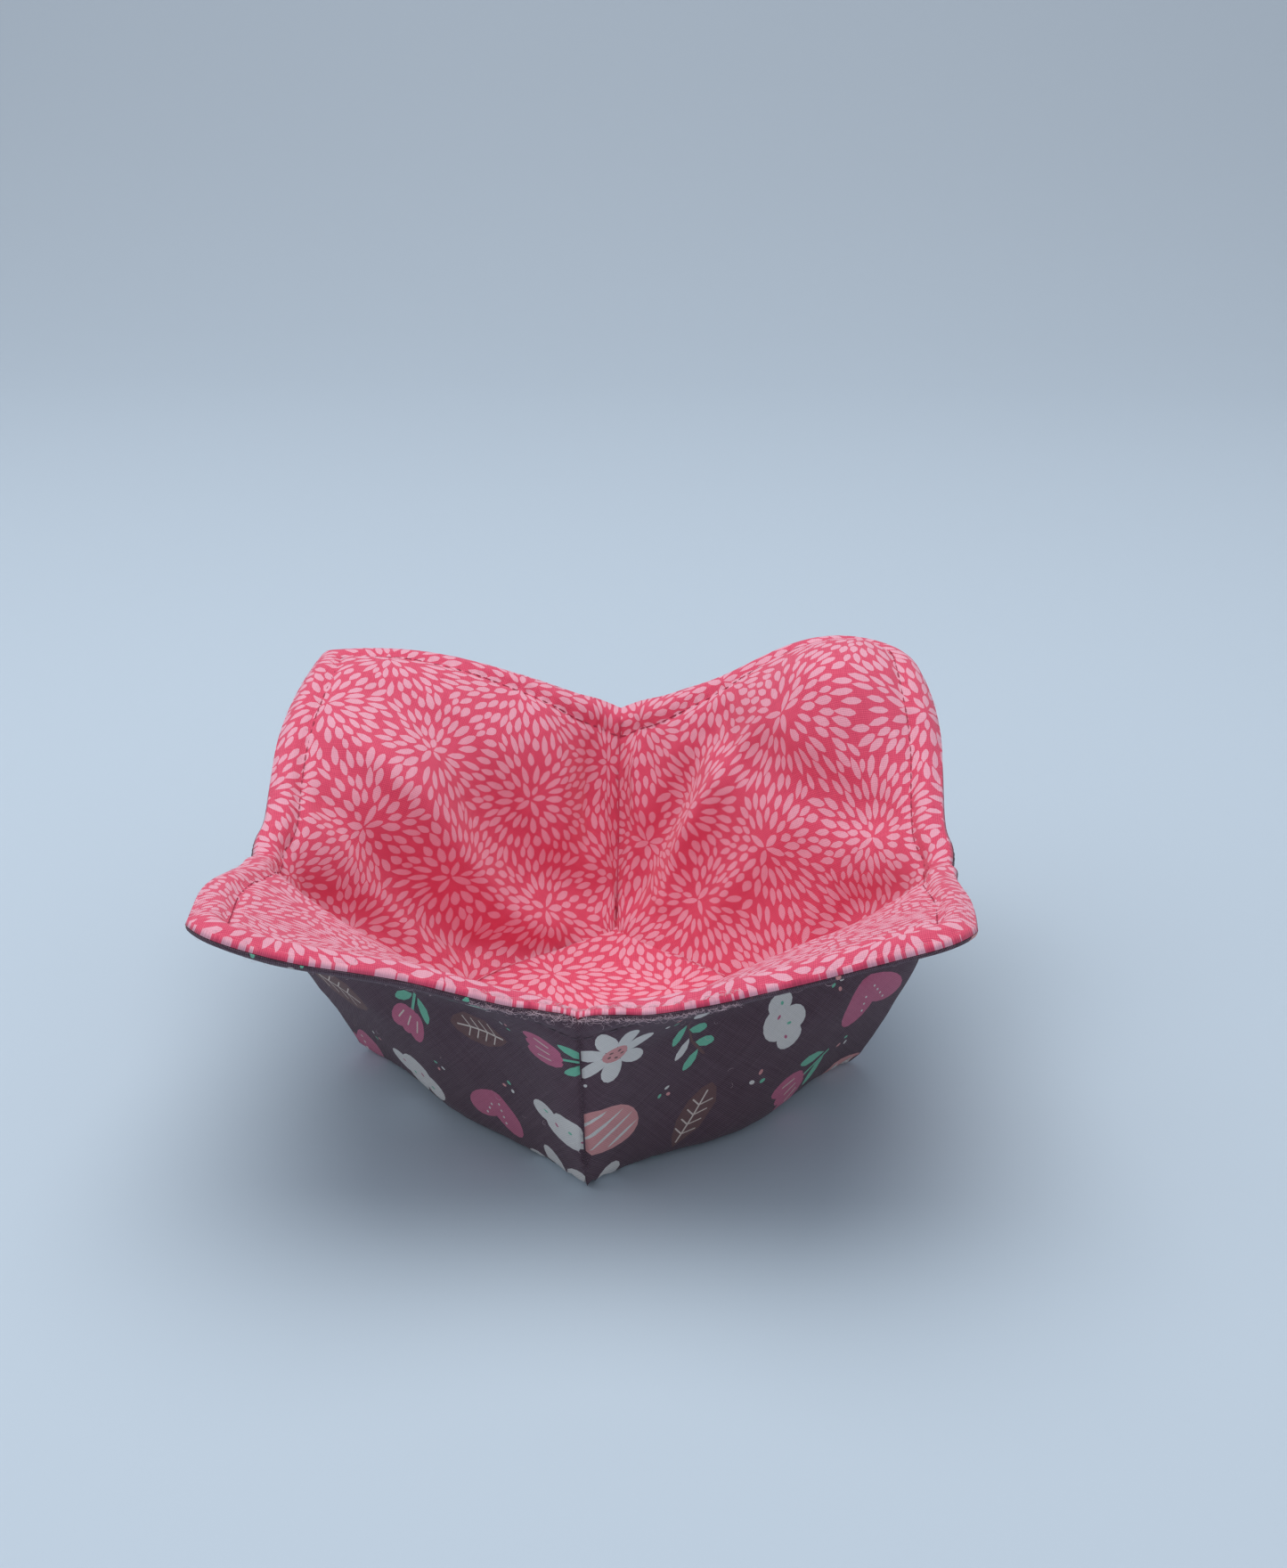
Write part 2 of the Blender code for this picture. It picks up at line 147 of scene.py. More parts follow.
class Wall:
    """The padded wall: where each point of the flat cloth goes once the darts are sewn."""

    def __init__(self, sizes):
        self.sizes = sizes
        self.half = sizes.square_side / 2 - sizes.seam_allowance
        self.depth = sizes.dart_length
        self.width = sizes.dart_half_width
        self.base_tip = self.half - self.depth
        self.full = (2 * sizes.cloth_thickness + 2 * sizes.batting_thickness + 3 * sizes.layer_gap) / 2
        self.crease = self.base_tip / ROOT2
        self.dart_top = (self.half + self.width) / ROOT2
        self.corner = self.half * ROOT2
        self.lean_cos = (self.depth - self.width) / (self.depth + self.width)
        self.lean = math.acos(self.lean_cos)
        self.dart_angle = math.atan2(self.width, self.depth)
        fairing = sizes.dart_top_fairing
        self.faired = fairing * (1 - math.cos(self.dart_angle)) * (1 + self.width / self.depth) / ROOT2
        self.rise_height = math.sin(self.lean) * (self.dart_top - self.crease)
        self.fairing_y = self.width * (self.half + fairing - self.base_tip) / self.depth

    def rounded_by(self, turn, beside):
        """How far a square corner gives way to an arc, at a distance beside the corner."""
        beside = np.minimum(np.abs(beside), turn / ROOT2)
        return np.sqrt(turn ** 2 - beside ** 2) - turn * ROOT2 + beside

    def climb(self, quarter, n, m):
        """How far out and up the wall has come, n out from the middle of the cloth and m aside."""
        roll, tip, roll_start = FLARES[quarter]
        roll, tip = math.radians(roll), math.radians(tip)
        past = n - self.crease
        top_half_width = self.crease + (self.dart_top - self.crease) * self.lean_cos
        side = np.clip(np.abs(m) / top_half_width, 0, 1) ** 3
        start = self.dart_top + roll_start + (self.faired - roll_start) * side
        steps = 40
        along = np.linspace(0, 1, steps)[:, None] * np.maximum(past, 0)[None, :] + self.crease
        rolled = ease((along - start) / ROLL_LENGTH)
        tipped = ease((along - start) / (self.corner - start))
        slope = self.lean + (roll - self.lean) * rolled + (tip - roll) * tipped
        step = np.maximum(past, 0) / (steps - 1)
        cosines = np.cos(slope)
        sines = np.sin(slope)
        out = self.crease + ((cosines[1:] + cosines[:-1]) / 2).sum(0) * step
        up = ((sines[1:] + sines[:-1]) / 2).sum(0) * step
        # the bend round the base is rounded, less so near the darts
        k = BEND_ROUND * np.clip(1 - (m / self.crease) ** 2, 0, 1) + 1e-9
        soft = np.where(past < -k, 0, np.where(past > k, past, (past + k) ** 2 / (4 * k)))
        change = soft - np.maximum(past, 0)
        out = np.where(past > 0, out, n) - (1 - self.lean_cos) * change
        return out, np.where(past > 0, up, 0) + math.sin(self.lean) * change

    def middle(self, quarter, flat):
        """Middle points of the wall, from the flat points of one quarter without their signs."""
        m = (flat[:, 1] - flat[:, 0]) / ROOT2
        out, up = self.climb(quarter, (flat[:, 0] + flat[:, 1]) / ROOT2, m)
        x = (out - m) / ROOT2
        y = (out + m) / ROOT2
        share = np.clip(up / self.rise_height, 0, 1.35)
        # the padding rounds the wall off at each dart, more towards the rim
        turn = self.sizes.dart_round * ease(share) + 1e-4
        x, y = (x + self.rounded_by(turn, y) * (x >= y), y + self.rounded_by(turn, x) * (y > x))
        x, y = quarter[0] * x, quarter[1] * y
        angle = np.arctan2(y, x)
        radius = np.hypot(x, y) + 1e-9
        high = share ** 2
        belly = 4 * ease(share) * (1 - ease(share))
        low = bell(up / BULGE_HEIGHT) * ease(radius / self.crease)
        push = high * round_the_bowl(REACHES, 22.5, angle)
        push = push + belly * round_the_bowl(BELLIES, 45, angle)
        push = push + low * round_the_bowl(BULGES, 45, angle)
        lift = round_the_bowl(RISES, 45, angle) + round_the_bowl(FLANK_RISES, 22.5, angle)
        lift = high * (lift + round_the_bowl(NOTCH_RISES, 11.25, angle))
        reach = 1 + push / radius
        return np.stack([x * reach, y * reach, up + lift + self.full], axis=1)

    def inward(self, quarter, flat):
        """Directions towards the inside of the bowl, turned to meet at the dart seams."""
        eps = 1e-5
        # the normal, from two short steps along the flat cloth
        du = self.middle(quarter, flat + (eps, 0)) - self.middle(quarter, flat - (eps, 0))
        dv = self.middle(quarter, flat + (0, eps)) - self.middle(quarter, flat - (0, eps))
        normal = np.cross(du, dv) * quarter[0] * quarter[1]
        normal /= np.linalg.norm(normal, axis=1)[:, None]
        # the darts' rounding upsets the directions at the very centre, where the base is level
        normal[np.abs(flat).max(axis=1) < 0.0001] = (0.0, 0.0, 1.0)
        place = self.middle(quarter, flat)
        blend = 3.2 * self.full
        turned = normal.copy()
        turned[:, 0] *= ease(np.abs(place[:, 0]) / blend)
        turned[:, 1] *= ease(np.abs(place[:, 1]) / blend)
        turned /= np.linalg.norm(turned, axis=1)[:, None]
        return place, turned / np.clip((turned * normal).sum(1), 0.74, 1)[:, None]

    def sewn(self, flat):
        """Middle points and inward directions for signed flat points of the whole square."""
        place = np.zeros((len(flat), 3))
        inward = np.zeros((len(flat), 3))
        for quarter in QUARTERS:
            mine = in_quarter(flat, quarter)
            if mine.any():
                place[mine], inward[mine] = self.inward(quarter, np.abs(flat[mine]))
        return place, inward

    def round_of(self, quarter):
        """Radius of a quarter's sewn corner."""
        return self.sizes.corner_round * CORNER_SHARES[quarter]

    def inset(self, flat):
        """How far each flat point lies in from the rim."""
        x = np.abs(flat).max(axis=1)
        y = np.abs(flat).min(axis=1)
        r = np.zeros(len(flat))
        for quarter in QUARTERS:
            r[in_quarter(flat, quarter)] = self.round_of(quarter)
        edge = self.half - r
        inset = np.where((x > edge) & (y > edge), r - np.hypot(x - edge, y - edge), self.half - x)
        fairing = self.sizes.dart_top_fairing
        near_dart = np.hypot(x - (self.half + fairing), y - self.fairing_y) - fairing
        return np.maximum(np.where(y < self.fairing_y, near_dart, inset), 0.0)

    def from_seam(self, flat):
        """How far each flat point lies from the nearest dart seam."""
        x = np.abs(flat).max(axis=1) - self.base_tip
        y = np.abs(flat).min(axis=1)
        c, s = math.cos(self.dart_angle), math.sin(self.dart_angle)
        return np.where(x * c + y * s > 0, np.abs(y * c - x * s), np.hypot(x, y))

    def seam_side(self, inset):
        """Where the seam between the cloths lies: rolled to the outer side along the rim."""
        return -0.6 * self.full * (1 - ease(inset / 0.0045))

    def face(self, flat, inside):
        """Distance of a cloth's printed face from the middle of the wall."""
        inset = self.inset(flat)
        seam = self.from_seam(flat)
        middle = self.seam_side(inset) * (1 if inside else -1)
        reach = 0.0065 if inside else 0.0016
        rounding = np.sqrt(1 - (1 - np.minimum(inset / reach, 1)) ** 2)
        height = middle + RIM_GAP + (self.full - middle - RIM_GAP) * rounding
        # the topstitch pinches the padding, less where a dart makes it thick
        along = flat[:, 0] * np.sign(flat[:, 1] + 1e-9) + flat[:, 1] * np.sign(flat[:, 0] + 1e-9)
        pucker = 0.8 + 0.2 * np.cos(2 * math.pi * along / self.sizes.stitch_length)
        pinch = (0.0013 if inside else 0.0006) * (0.4 + 0.6 * ease(seam / 0.010))
        height = height - pinch * bell((inset - self.sizes.stitch_inset) / 0.0016) * pucker
        # the cloth turned in at the rim makes a low ridge
        height = height + 0.0003 * bell((inset - 0.0045) / 0.002)
        # the dart seams are drawn in, except at the tip and at the rim
        past_tip = np.abs(flat).max(axis=1) - self.base_tip
        sewn = ease((past_tip - 0.006) / 0.020) * ease((inset - 0.003) / 0.008)
        if inside:
            height = height - 0.0010 * bell(seam / 0.0006) * sewn - 0.0005 * bell(seam / 0.0025) * sewn
            # the turned-in darts fill the bend between the wall and the base
            bend = np.abs(flat).sum(axis=1) / ROOT2 - self.crease
            height = height + 0.0040 * bell(bend / 0.013) * ease((seam + 0.004) / 0.006)
        else:
            height = height - 0.0003 * bell(seam / 0.0006) * sewn
        return np.maximum(height, middle + RIM_GAP + RIM_PARTING * ease(inset / 0.004))


def from_path(flat, path):
    """How far flat points lie from a path, and how far along it the nearest place is, from 0 to 1."""
    path = np.array(path, dtype=float)
    legs = np.hypot(*(path[1:] - path[:-1]).T)
    walked = np.concatenate([[0.0], np.cumsum(legs)]) / legs.sum()
    nearest = np.full(len(flat), 1e9)
    along = np.zeros(len(flat))
    for i, (start, end) in enumerate(zip(path, path[1:])):
        t = np.clip((flat - start) @ (end - start) / legs[i] ** 2, 0, 1)
        away = np.hypot(*(flat - start - t[:, None] * (end - start)).T)
        along = np.where(away < nearest, walked[i] + t * (walked[i + 1] - walked[i]), along)
        nearest = np.minimum(nearest, away)
    return nearest, along


def folds(flat):
    """Height in metres of the soft folds at flat points in metres."""
    height = np.zeros(len(flat))
    for path, tall, width in FOLDS:
        away, along = from_path(flat * 1000, path)
        height += tall / 1000 * bell(away / width) * (0.35 + 0.65 * bell((along - 0.5) / 0.42))
    return height


def ripple(points, tall, long, seed):
    """Smooth bumps and hollows, up to a height and about as long as told, at points in space."""
    shift = Vector((seed * 3.1, seed * 1.7, seed * 2.3))
    return tall * np.array([noise.noise(Vector(p) * (1 / long) + shift) for p in points])


# Flat layout of the cloth, in millimetres

def rim_side(wall, quarter, inset, spacing):
    """From a dart to a corner, along a line that keeps its distance from the rim."""
    edge = wall.half - inset
    radius = wall.sizes.dart_top_fairing + inset
    r = max(wall.round_of(quarter) - inset, 0.0006)
    turns = wall.dart_angle * np.linspace(1, 0, max(5, int(radius * wall.dart_angle * 1000 / spacing)))
    side = [(edge + radius - radius * math.cos(t), wall.fairing_y - radius * math.sin(t)) for t in turns]
    straight = edge - r - wall.fairing_y
    steps = int(straight * 1000 / spacing) + 1
    side += [(edge, wall.fairing_y + straight * i / steps) for i in range(1, steps)]
    parts = max(2, int(r * math.pi / 4 * 1000 / min(spacing, 1.2)))
    return side + [(edge - r + r * math.cos(t), edge - r + r * math.sin(t))
                   for t in (math.pi / 4 * i / parts for i in range(parts + 1))]


def outline(wall, spacing, inset=0.0):
    """The rim's line with its four notches, and the pairs of points that each dart seam joins."""
    points, starts = [], []
    for quarter in ((1, 1), (-1, 1), (-1, -1), (1, -1)):
        side = rim_side(wall, quarter, inset, spacing)
        count = int(math.hypot(side[0][0] - wall.base_tip, side[0][1]) * 1000 / spacing)
        up_dart = [(wall.base_tip + (side[0][0] - wall.base_tip) * i / count, side[0][1] * i / count)
                   for i in range(count)]
        half = up_dart + side
        turn = half + [(y, x) for x, y in reversed(half[1:-1])]
        if quarter[0] * quarter[1] < 0:
            turn = [(y, x) for x, y in turn]
        starts.append(len(points))
        points += [(quarter[0] * x * 1000, quarter[1] * y * 1000) for x, y in turn]
    pairs = [(start + i, (start - i) % len(points)) for start in starts for i in range(1, count + 1)]
    return np.array(points), pairs


def rings(wall, insets, spacing=1.7):
    """Points along lines that keep their distance from the rim."""
    found = []
    for inset in insets:
        for quarter in QUARTERS:
            side = rim_side(wall, quarter, inset, spacing)[1:]
            found += [(quarter[0] * x, quarter[1] * y) for x, y in side + [(y, x) for x, y in side[:-1]]]
    return np.array(found) * 1000


def beside_darts(wall, distances, spacing=1.7):
    """Points along lines that keep their distance from each dart seam."""
    c, s = math.cos(wall.dart_angle), math.sin(wall.dart_angle)
    length = wall.depth / c
    found = []
    for distance in distances:
        for t in np.arange(-distance * 0.5, length, spacing / 1000):
            x = wall.base_tip + t * c - distance * s
            y = t * s + distance * c
            if y > 0.0002:
                found += [(sx * a, sy * b) for sx, sy in QUARTERS for a, b in ((x, y), (y, x))]
    return np.array(found) * 1000


def field(wall, spacing):
    """Evenly spread points over the rest of the cloth."""
    step = spacing * math.sqrt(3) / 2
    count = int(wall.half * 1000 / step) + 1
    found = []
    for row in range(-count, count + 1):
        shift = spacing / 2 if row % 2 else 0
        across = int(wall.half * 1000 / spacing) + 1
        found += [(i * spacing + shift, row * step) for i in range(-across, across + 1)]
    found = np.array(found)
    keep = (wall.inset(found / 1000) > 0.0135) & (wall.from_seam(found / 1000) > 0.0035)
    return found[keep & in_cloth(wall, found, 1.0)]


def in_cloth(wall, points, margin):
    """Whether points are on the cloth, at least a margin from the dart seams."""
    x = np.abs(points).max(axis=1) / 1000 - wall.base_tip
    y = np.abs(points).min(axis=1) / 1000
    perpendicular = y * math.cos(wall.dart_angle) - x * math.sin(wall.dart_angle)
    return perpendicular > margin / 1000


# Printed shapes: every one is a convex ring of flat points, in millimetres

def turned(ring, x, y, angle):
    """A ring turned by an angle and moved to a place."""
    c, s = math.cos(angle), math.sin(angle)
    return [(x + a * c - b * s, y + a * s + b * c) for a, b in ring]


def oval(x, y, length, width, angle, count=14):
    turns = [2 * math.pi * (i + 0.37) / count for i in range(count)]
    return turned([(length / 2 * math.cos(t), width / 2 * math.sin(t)) for t in turns], x, y, angle)


def petal(x, y, length, width, angle, lean=0.0):
    """A pointed oval, a little fuller towards its outer end."""
    along = (-0.5, -0.34, -0.06, 0.24, 0.43, 0.5, 0.42, 0.2, -0.18)
    across = (0.0, -0.25, -0.47, -0.45, -0.22, 0.02, 0.24, 0.47, 0.42)
    ring = [((a + 0.06 * lean * b) * length, b * width) for a, b in zip(along, across)]
    return turned(ring, x, y, angle)


def line(x0, y0, x1, y1, width):
    """A short painted line with rounded ends."""
    angle = math.atan2(y1 - y0, x1 - x0)
    dx, dy = math.cos(angle) * width / 2, math.sin(angle) * width / 2
    ring = ((x0, y0, -1, 0), (x0, y0, -0.3, 1), (x1, y1, 0.3, 1),
            (x1, y1, 1, 0), (x1, y1, 0.3, -1), (x0, y0, -0.3, -1))
    return [(x + ahead * dx + aside * dy, y + ahead * dy - aside * dx) for x, y, ahead, aside in ring]


def clip(ring, normal, least):
    """The part of a convex ring where a point times normal is at least a value."""
    kept = []
    for i, (x, y) in enumerate(ring):
        px, py = ring[i - 1]
        here = x * normal[0] + y * normal[1] - least
        there = px * normal[0] + py * normal[1] - least
        if (here >= 0) != (there >= 0):
            t = there / (there - here)
            kept.append((px + (x - px) * t, py + (y - py) * t))
        if here >= 0:
            kept.append((x, y))
    return kept


def area_of(ring):
    return 0.5 * sum(ring[i - 1][0] * y - x * ring[i - 1][1] for i, (x, y) in enumerate(ring))


def cut_at_darts(wall, shapes):
    """Cuts printed shapes a little short of the dart seams and drops what is off the cloth."""
    c, s = math.cos(wall.dart_angle), math.sin(wall.dart_angle)
    tip = wall.base_tip * 1000
    most = (wall.half + wall.faired) * 1000 + 6
    kept = []
    for ring, colour in shapes:
        points = np.array(ring)
        if np.abs(points).min(axis=0).max() > most:
            continue
        size = np.abs(points).max(axis=1)
        near = np.abs(points).min(axis=1) * c - (size - tip) * s
        pieces = [ring]
        if near.min() <= SEAM_GAP and size.max() >= tip:
            # one piece on each side of the dart that the shape lies on
            order = 1 if abs(points[:, 0].mean()) > abs(points[:, 1].mean()) else -1
            sign = 1 if points[:, 0 if order == 1 else 1].mean() > 0 else -1
            pieces = []
            for side in (1, -1):
                half = clip(ring, (0, side)[::order], 0.0)
                pieces.append(clip(half, (-s * sign, c * side)[::order], SEAM_GAP - tip * s))
        for piece in pieces:
            if len(piece) > 2 and abs(area_of(piece)) > 0.05:
                kept.append((piece if area_of(piece) > 0 else piece[::-1], colour))
    return kept


def scattered(reach, spacing, jitter, rng):
    """Places in rows, every other row shifted, each place moved a little at random."""
    closer = 0.87
    rows = int(reach / (spacing * closer)) + 1
    for row in range(-rows, rows + 1):
        for column in range(-rows - 1, rows + 2):
            x = (column + 0.5 * (row % 2)) * spacing + rng.uniform(-jitter, jitter)
            yield row, x, row * spacing * closer + rng.uniform(-jitter, jitter)


def burst_print(wall):
    """Petals in rings round scattered centres, fitted together without touching."""
    rng = np.random.default_rng(11)
    sizes = wall.sizes
    reach = (wall.half + wall.faired) * 1000 + 5
    length, width = sizes.petal_length * 1000, sizes.petal_width * 1000
    places = scattered(reach, sizes.burst_spacing * 1000, 4.5, rng)
    centres = np.array([(x + 3, y - 2) for row, x, y in places])
    # a fine grid keeps account of where a petal lies
    cell, border = 0.2, 8
    count = int(2 * (reach + border) / cell)
    taken = np.zeros((count, count), bool)
    shapes = []

    def covered(ring):
        """The window of the grid round a ring, and which of its cells are inside."""
        ring = np.array(ring)
        low = np.floor((ring.min(axis=0) + reach + border) / cell).astype(int)
        high = np.ceil((ring.max(axis=0) + reach + border) / cell).astype(int) + 1
        if low.min() < 0 or high.max() >= count:
            return None, None
        xs = (np.arange(low[0], high[0]) + 0.5) * cell - reach - border
        ys = (np.arange(low[1], high[1]) + 0.5) * cell - reach - border
        inside = np.ones((len(xs), len(ys)), bool)
        for (ax, ay), (bx, by) in zip(ring, np.roll(ring, -1, axis=0)):
            inside &= (bx - ax) * (ys[None, :] - ay) - (by - ay) * (xs[:, None] - ax) >= 0
        return (slice(low[0], high[0]), slice(low[1], high[1])), inside

    def flow(x, y):
        """The way petals point: outwards from each centre, turning smoothly between them."""
        away = np.arctan2(y - centres[:, 1], x - centres[:, 0])
        weight = 1 / (np.hypot(centres[:, 0] - x, centres[:, 1] - y) + 0.5) ** 4
        return math.atan2((weight * np.sin(2 * away)).sum(), (weight * np.cos(2 * away)).sum()) / 2

    def place(x, y, petal_length, petal_width, angle):
        """Prints a petal where it has its gap all round."""
        room = petal(x, y, petal_length + 2 * PETAL_GAP, petal_width + 2 * PETAL_GAP, angle)
        window, inside = covered(room)
        if window is None or (taken[window] & inside).any():
            return
        printed = petal(x, y, petal_length, petal_width, angle, rng.uniform(-1, 1))
        window, inside = covered(printed)
        taken[window] |= inside
        shapes.append((printed, 1))

    for ring_number in range(6):
        radius = 2.9 + length * 0.93 * ring_number
        around = int(2 * math.pi * radius / (width + 0.36))
        spread = 0.35 + 0.34 * ring_number
        for cx, cy in centres:
            turn = rng.uniform(0, 1)
            for i in range(around):
                angle = 2 * math.pi * (i + turn + rng.uniform(-0.1, 0.1)) / around
                r = radius + rng.uniform(-spread, spread)
                x, y = cx + r * math.cos(angle), cy + r * math.sin(angle)
                nearest = np.hypot(centres[:, 0] - x, centres[:, 1] - y).min()
                if max(abs(x), abs(y)) <= reach and r <= nearest + 0.8:
                    place(x, y, length * rng.uniform(0.72, 1.16), width * rng.uniform(0.78, 1.12),
                          flow(x, y) + rng.uniform(-0.1, 0.1))
    # smaller petals fill what is left
    for share in (1.05, 0.9, 0.75, 0.62):
        tries = rng.uniform(-reach, reach, (34000, 2))
        cells = ((tries + reach + border) / cell).astype(int)
        for x, y in tries[~taken[cells[:, 0], cells[:, 1]]]:
            place(x, y, length * share, width * (0.45 + 0.5 * share), flow(x, y) + rng.uniform(-0.12, 0.12))
    return cut_at_darts(wall, shapes)


def meadow_print(wall):
    """Scattered flowers, leaves, hearts and striped pebbles."""
    rng = np.random.default_rng(5)
    rose, salmon, cream, mint, cocoa, chalk = 1, 2, 3, 4, 5, 6
    spacing = wall.sizes.motif_spacing * 1000
    reach = wall.half * 1000 + 12
    shapes = []

    def add(ring, colour):
        shapes.append((ring, colour))

    def at(x, y, turn, ahead, aside):
        c, s = math.cos(turn), math.sin(turn)
        return x + ahead * c - aside * s, y + ahead * s + aside * c

    def daisy(x, y, size, turn):
        for i in range(7):
            angle = turn + 2 * math.pi * i / 7
            add(oval(*at(x, y, angle, size * 0.31, 0), size * 0.42, size * 0.23, angle), cream)
        add(oval(x, y, size * 0.3, size * 0.28, turn, 16), salmon)
        for i in range(5):
            dot = at(x, y, turn + 1.26 * i, size * 0.07, 0)
            add(oval(*dot, size * 0.05, size * 0.035, turn + i, 6), cocoa)

    def tulip(x, y, size, turn):
        add(line(*at(x, y, turn, -size * 0.5, 0), *at(x, y, turn, 0, 0), 0.9), mint)
        for side in (1, -1):
            low = at(x, y, turn, -size * 0.24, side * size * 0.15)
            add(petal(*low, size * 0.44, size * 0.15, turn + side * 0.5), mint)
            high = at(x, y, turn, size * 0.18, side * size * 0.12)
            add(oval(*high, size * 0.5, size * 0.26, turn + side * 0.22), rose)
        add(oval(*at(x, y, turn, size * 0.17, 0), size * 0.5, size * 0.24, turn), rose)
        for side in (-1, 0, 1):
            start = at(x, y, turn, size * 0.08, side * size * 0.11)
            end = at(x, y, turn, size * 0.26, side * size * 0.15)
            add(line(*start, *end, 0.45), chalk)

    def sprig(x, y, size, turn):
        bend = 0.12 * size
        stem = [at(x, y, turn, size * (t - 0.5), bend * math.sin(math.pi * t)) for t in (0, 0.33, 0.66, 1)]
        for start, end in zip(stem, stem[1:]):
            add(line(*start, *end, 0.7), cocoa)
        for i in range(6):
            t = 0.2 + 0.14 * i
            side = 1 if i % 2 else -1
            beside = at(x, y, turn, size * (t - 0.44), bend * math.sin(math.pi * t) + side * size * 0.13)
            add(petal(*beside, size * 0.3, size * 0.14, turn + side * 0.85), mint if i % 3 else cream)

    def pebble(x, y, size, turn):
        add(oval(x, y, size * 0.92, size * 0.62, turn, 22), salmon)
        for i, wide in ((-1.5, 0.4), (-0.5, 0.54), (0.5, 0.54), (1.5, 0.4)):
            stripe = at(x, y, turn, i * size * 0.2, 0)
            add(petal(*stripe, size * wide, 1.3, turn + math.pi / 2 + 0.15), cream)

    def leaf(x, y, size, turn):
        add(petal(x, y, size, size * 0.46, turn), cocoa)
        add(line(*at(x, y, turn, -size * 0.42, 0), *at(x, y, turn, size * 0.38, 0), 0.5), chalk)
        for i in range(4):
            for side in (1, -1):
                start = at(x, y, turn, size * (-0.28 + 0.15 * i), side * 0.3)
                end = at(x, y, turn, size * (-0.2 + 0.15 * i), side * size * 0.14)
                add(line(*start, *end, 0.4), chalk)

    def heart(x, y, size, turn):
        for side in (1, -1):
            lobe = at(x, y, turn, 0, side * size * 0.135)
            add(oval(*lobe, size * 0.78, size * 0.42, turn + side * 0.62, 18), rose)
        for i in range(7):
            row = i // 2
            dot = at(x, y, turn, size * (0.2 - 0.11 * row), size * 0.13 * (i % 2 - 0.5) * (2.2 - 0.5 * row))
            add(oval(*dot, 1.0, 0.7, turn, 7), cream)

    def cloud(x, y, size, turn):
        for ahead, aside, big in ((-0.26, 0, 0.36), (0.0, 0.1, 0.46), (0.27, 0.02, 0.38), (0.05, -0.1, 0.36)):
            puff = at(x, y, turn, size * ahead, size * aside)
            add(oval(*puff, size * big, size * big * 0.9, turn, 16), cream)
        for i in range(4):
            drop = at(x, y, turn, size * (-0.24 + 0.16 * i), size * (0.06 if i % 2 else -0.03))
            add(oval(*drop, 1.5, 0.9, turn + i, 8), rose if i % 2 else mint)

    def sprinkle(x, y, size, turn):
        for i, colour in enumerate((salmon, mint, cream)):
            add(oval(*at(x, y, turn + 2.1 * i, size * 0.3, 0), size * 0.28, size * 0.2, turn + i, 9), colour)

    kinds = (daisy, tulip, pebble, leaf, heart, sprig, cloud)
    for pick, (row, x, y) in enumerate(scattered(reach, spacing, 3.5, rng)):
        turn = rng.uniform(0, 2 * math.pi)
        size = rng.uniform(20.5, 25.0)
        if max(abs(x), abs(y)) <= reach:
            kinds[(pick * 3 + row) % len(kinds)](x, y, size, turn)
            sprinkle(x + spacing * 0.5, y + spacing * 0.27, rng.uniform(4.5, 6.5), turn)
    return cut_at_darts(wall, shapes)


def lay_out(wall, shapes, spacing):
    """Triangles of the flat cloth that follow every printed edge, with each one's colour."""
    edge, pairs = outline(wall, 1.5)
    printed = []
    faces = [list(range(len(edge)))]
    colours = [0]
    for ring, colour in shapes:
        first = len(edge) + len(printed)
        printed += ring
        faces.append(list(range(first, first + len(ring))))
        colours.append(colour)
    fixed = np.vstack([edge, printed])
    loose = np.vstack([rings(wall, [x / 1000 for x in RIM_ROWS]), beside_darts(wall, SEAM_ROWS),
                       field(wall, spacing)])
    loose = loose[in_cloth(wall, loose, 0.35) & (wall.inset(loose / 1000) > 0.0001)]
    # loose points keep clear of the printed edges and of each other
    bin_size = 0.6
    crowd = {}
    for x, y in fixed:
        crowd.setdefault((int(x // bin_size), int(y // bin_size)), []).append((x, y))
    kept = []
    for x, y in loose:
        cx, cy = int(x // bin_size), int(y // bin_size)
        near = [p for i in (-1, 0, 1) for j in (-1, 0, 1) for p in crowd.get((cx + i, cy + j), ())]
        least = 0.22 if abs(max(abs(x), abs(y)) - wall.half * 1000) < 3 else 0.38
        if all((x - px) ** 2 + (y - py) ** 2 > least * least for px, py in near):
            kept.append((x, y))
            crowd.setdefault((cx, cy), []).append((x, y))
    return sewn_triangles(np.vstack([fixed, kept]), faces, colours, pairs)


def sewn_triangles(points, faces, colours, pairs):
    """Joins flat points into triangles inside the first face, and sews the paired points."""
    result = delaunay_2d_cdt([Vector(p) for p in points], [], faces, 1, 1e-4, True)
    flat = np.array([tuple(v) for v in result[0]])
    triangles, colour_of = [], []
    for triangle, inside in zip(result[2], result[5]):
        if inside and 0 in inside:
            triangles.append(triangle)
            colour_of.append(colours[max(inside)])
    # the two sides of each dart are sewn into one
    place_of = {}
    for index, origins in enumerate(result[3]):
        for origin in origins:
            place_of[origin] = index
    same = np.arange(len(flat))
    for a, b in pairs:
        same[place_of[b]] = place_of[a]
    return flat, np.array(triangles), np.array(colour_of), same


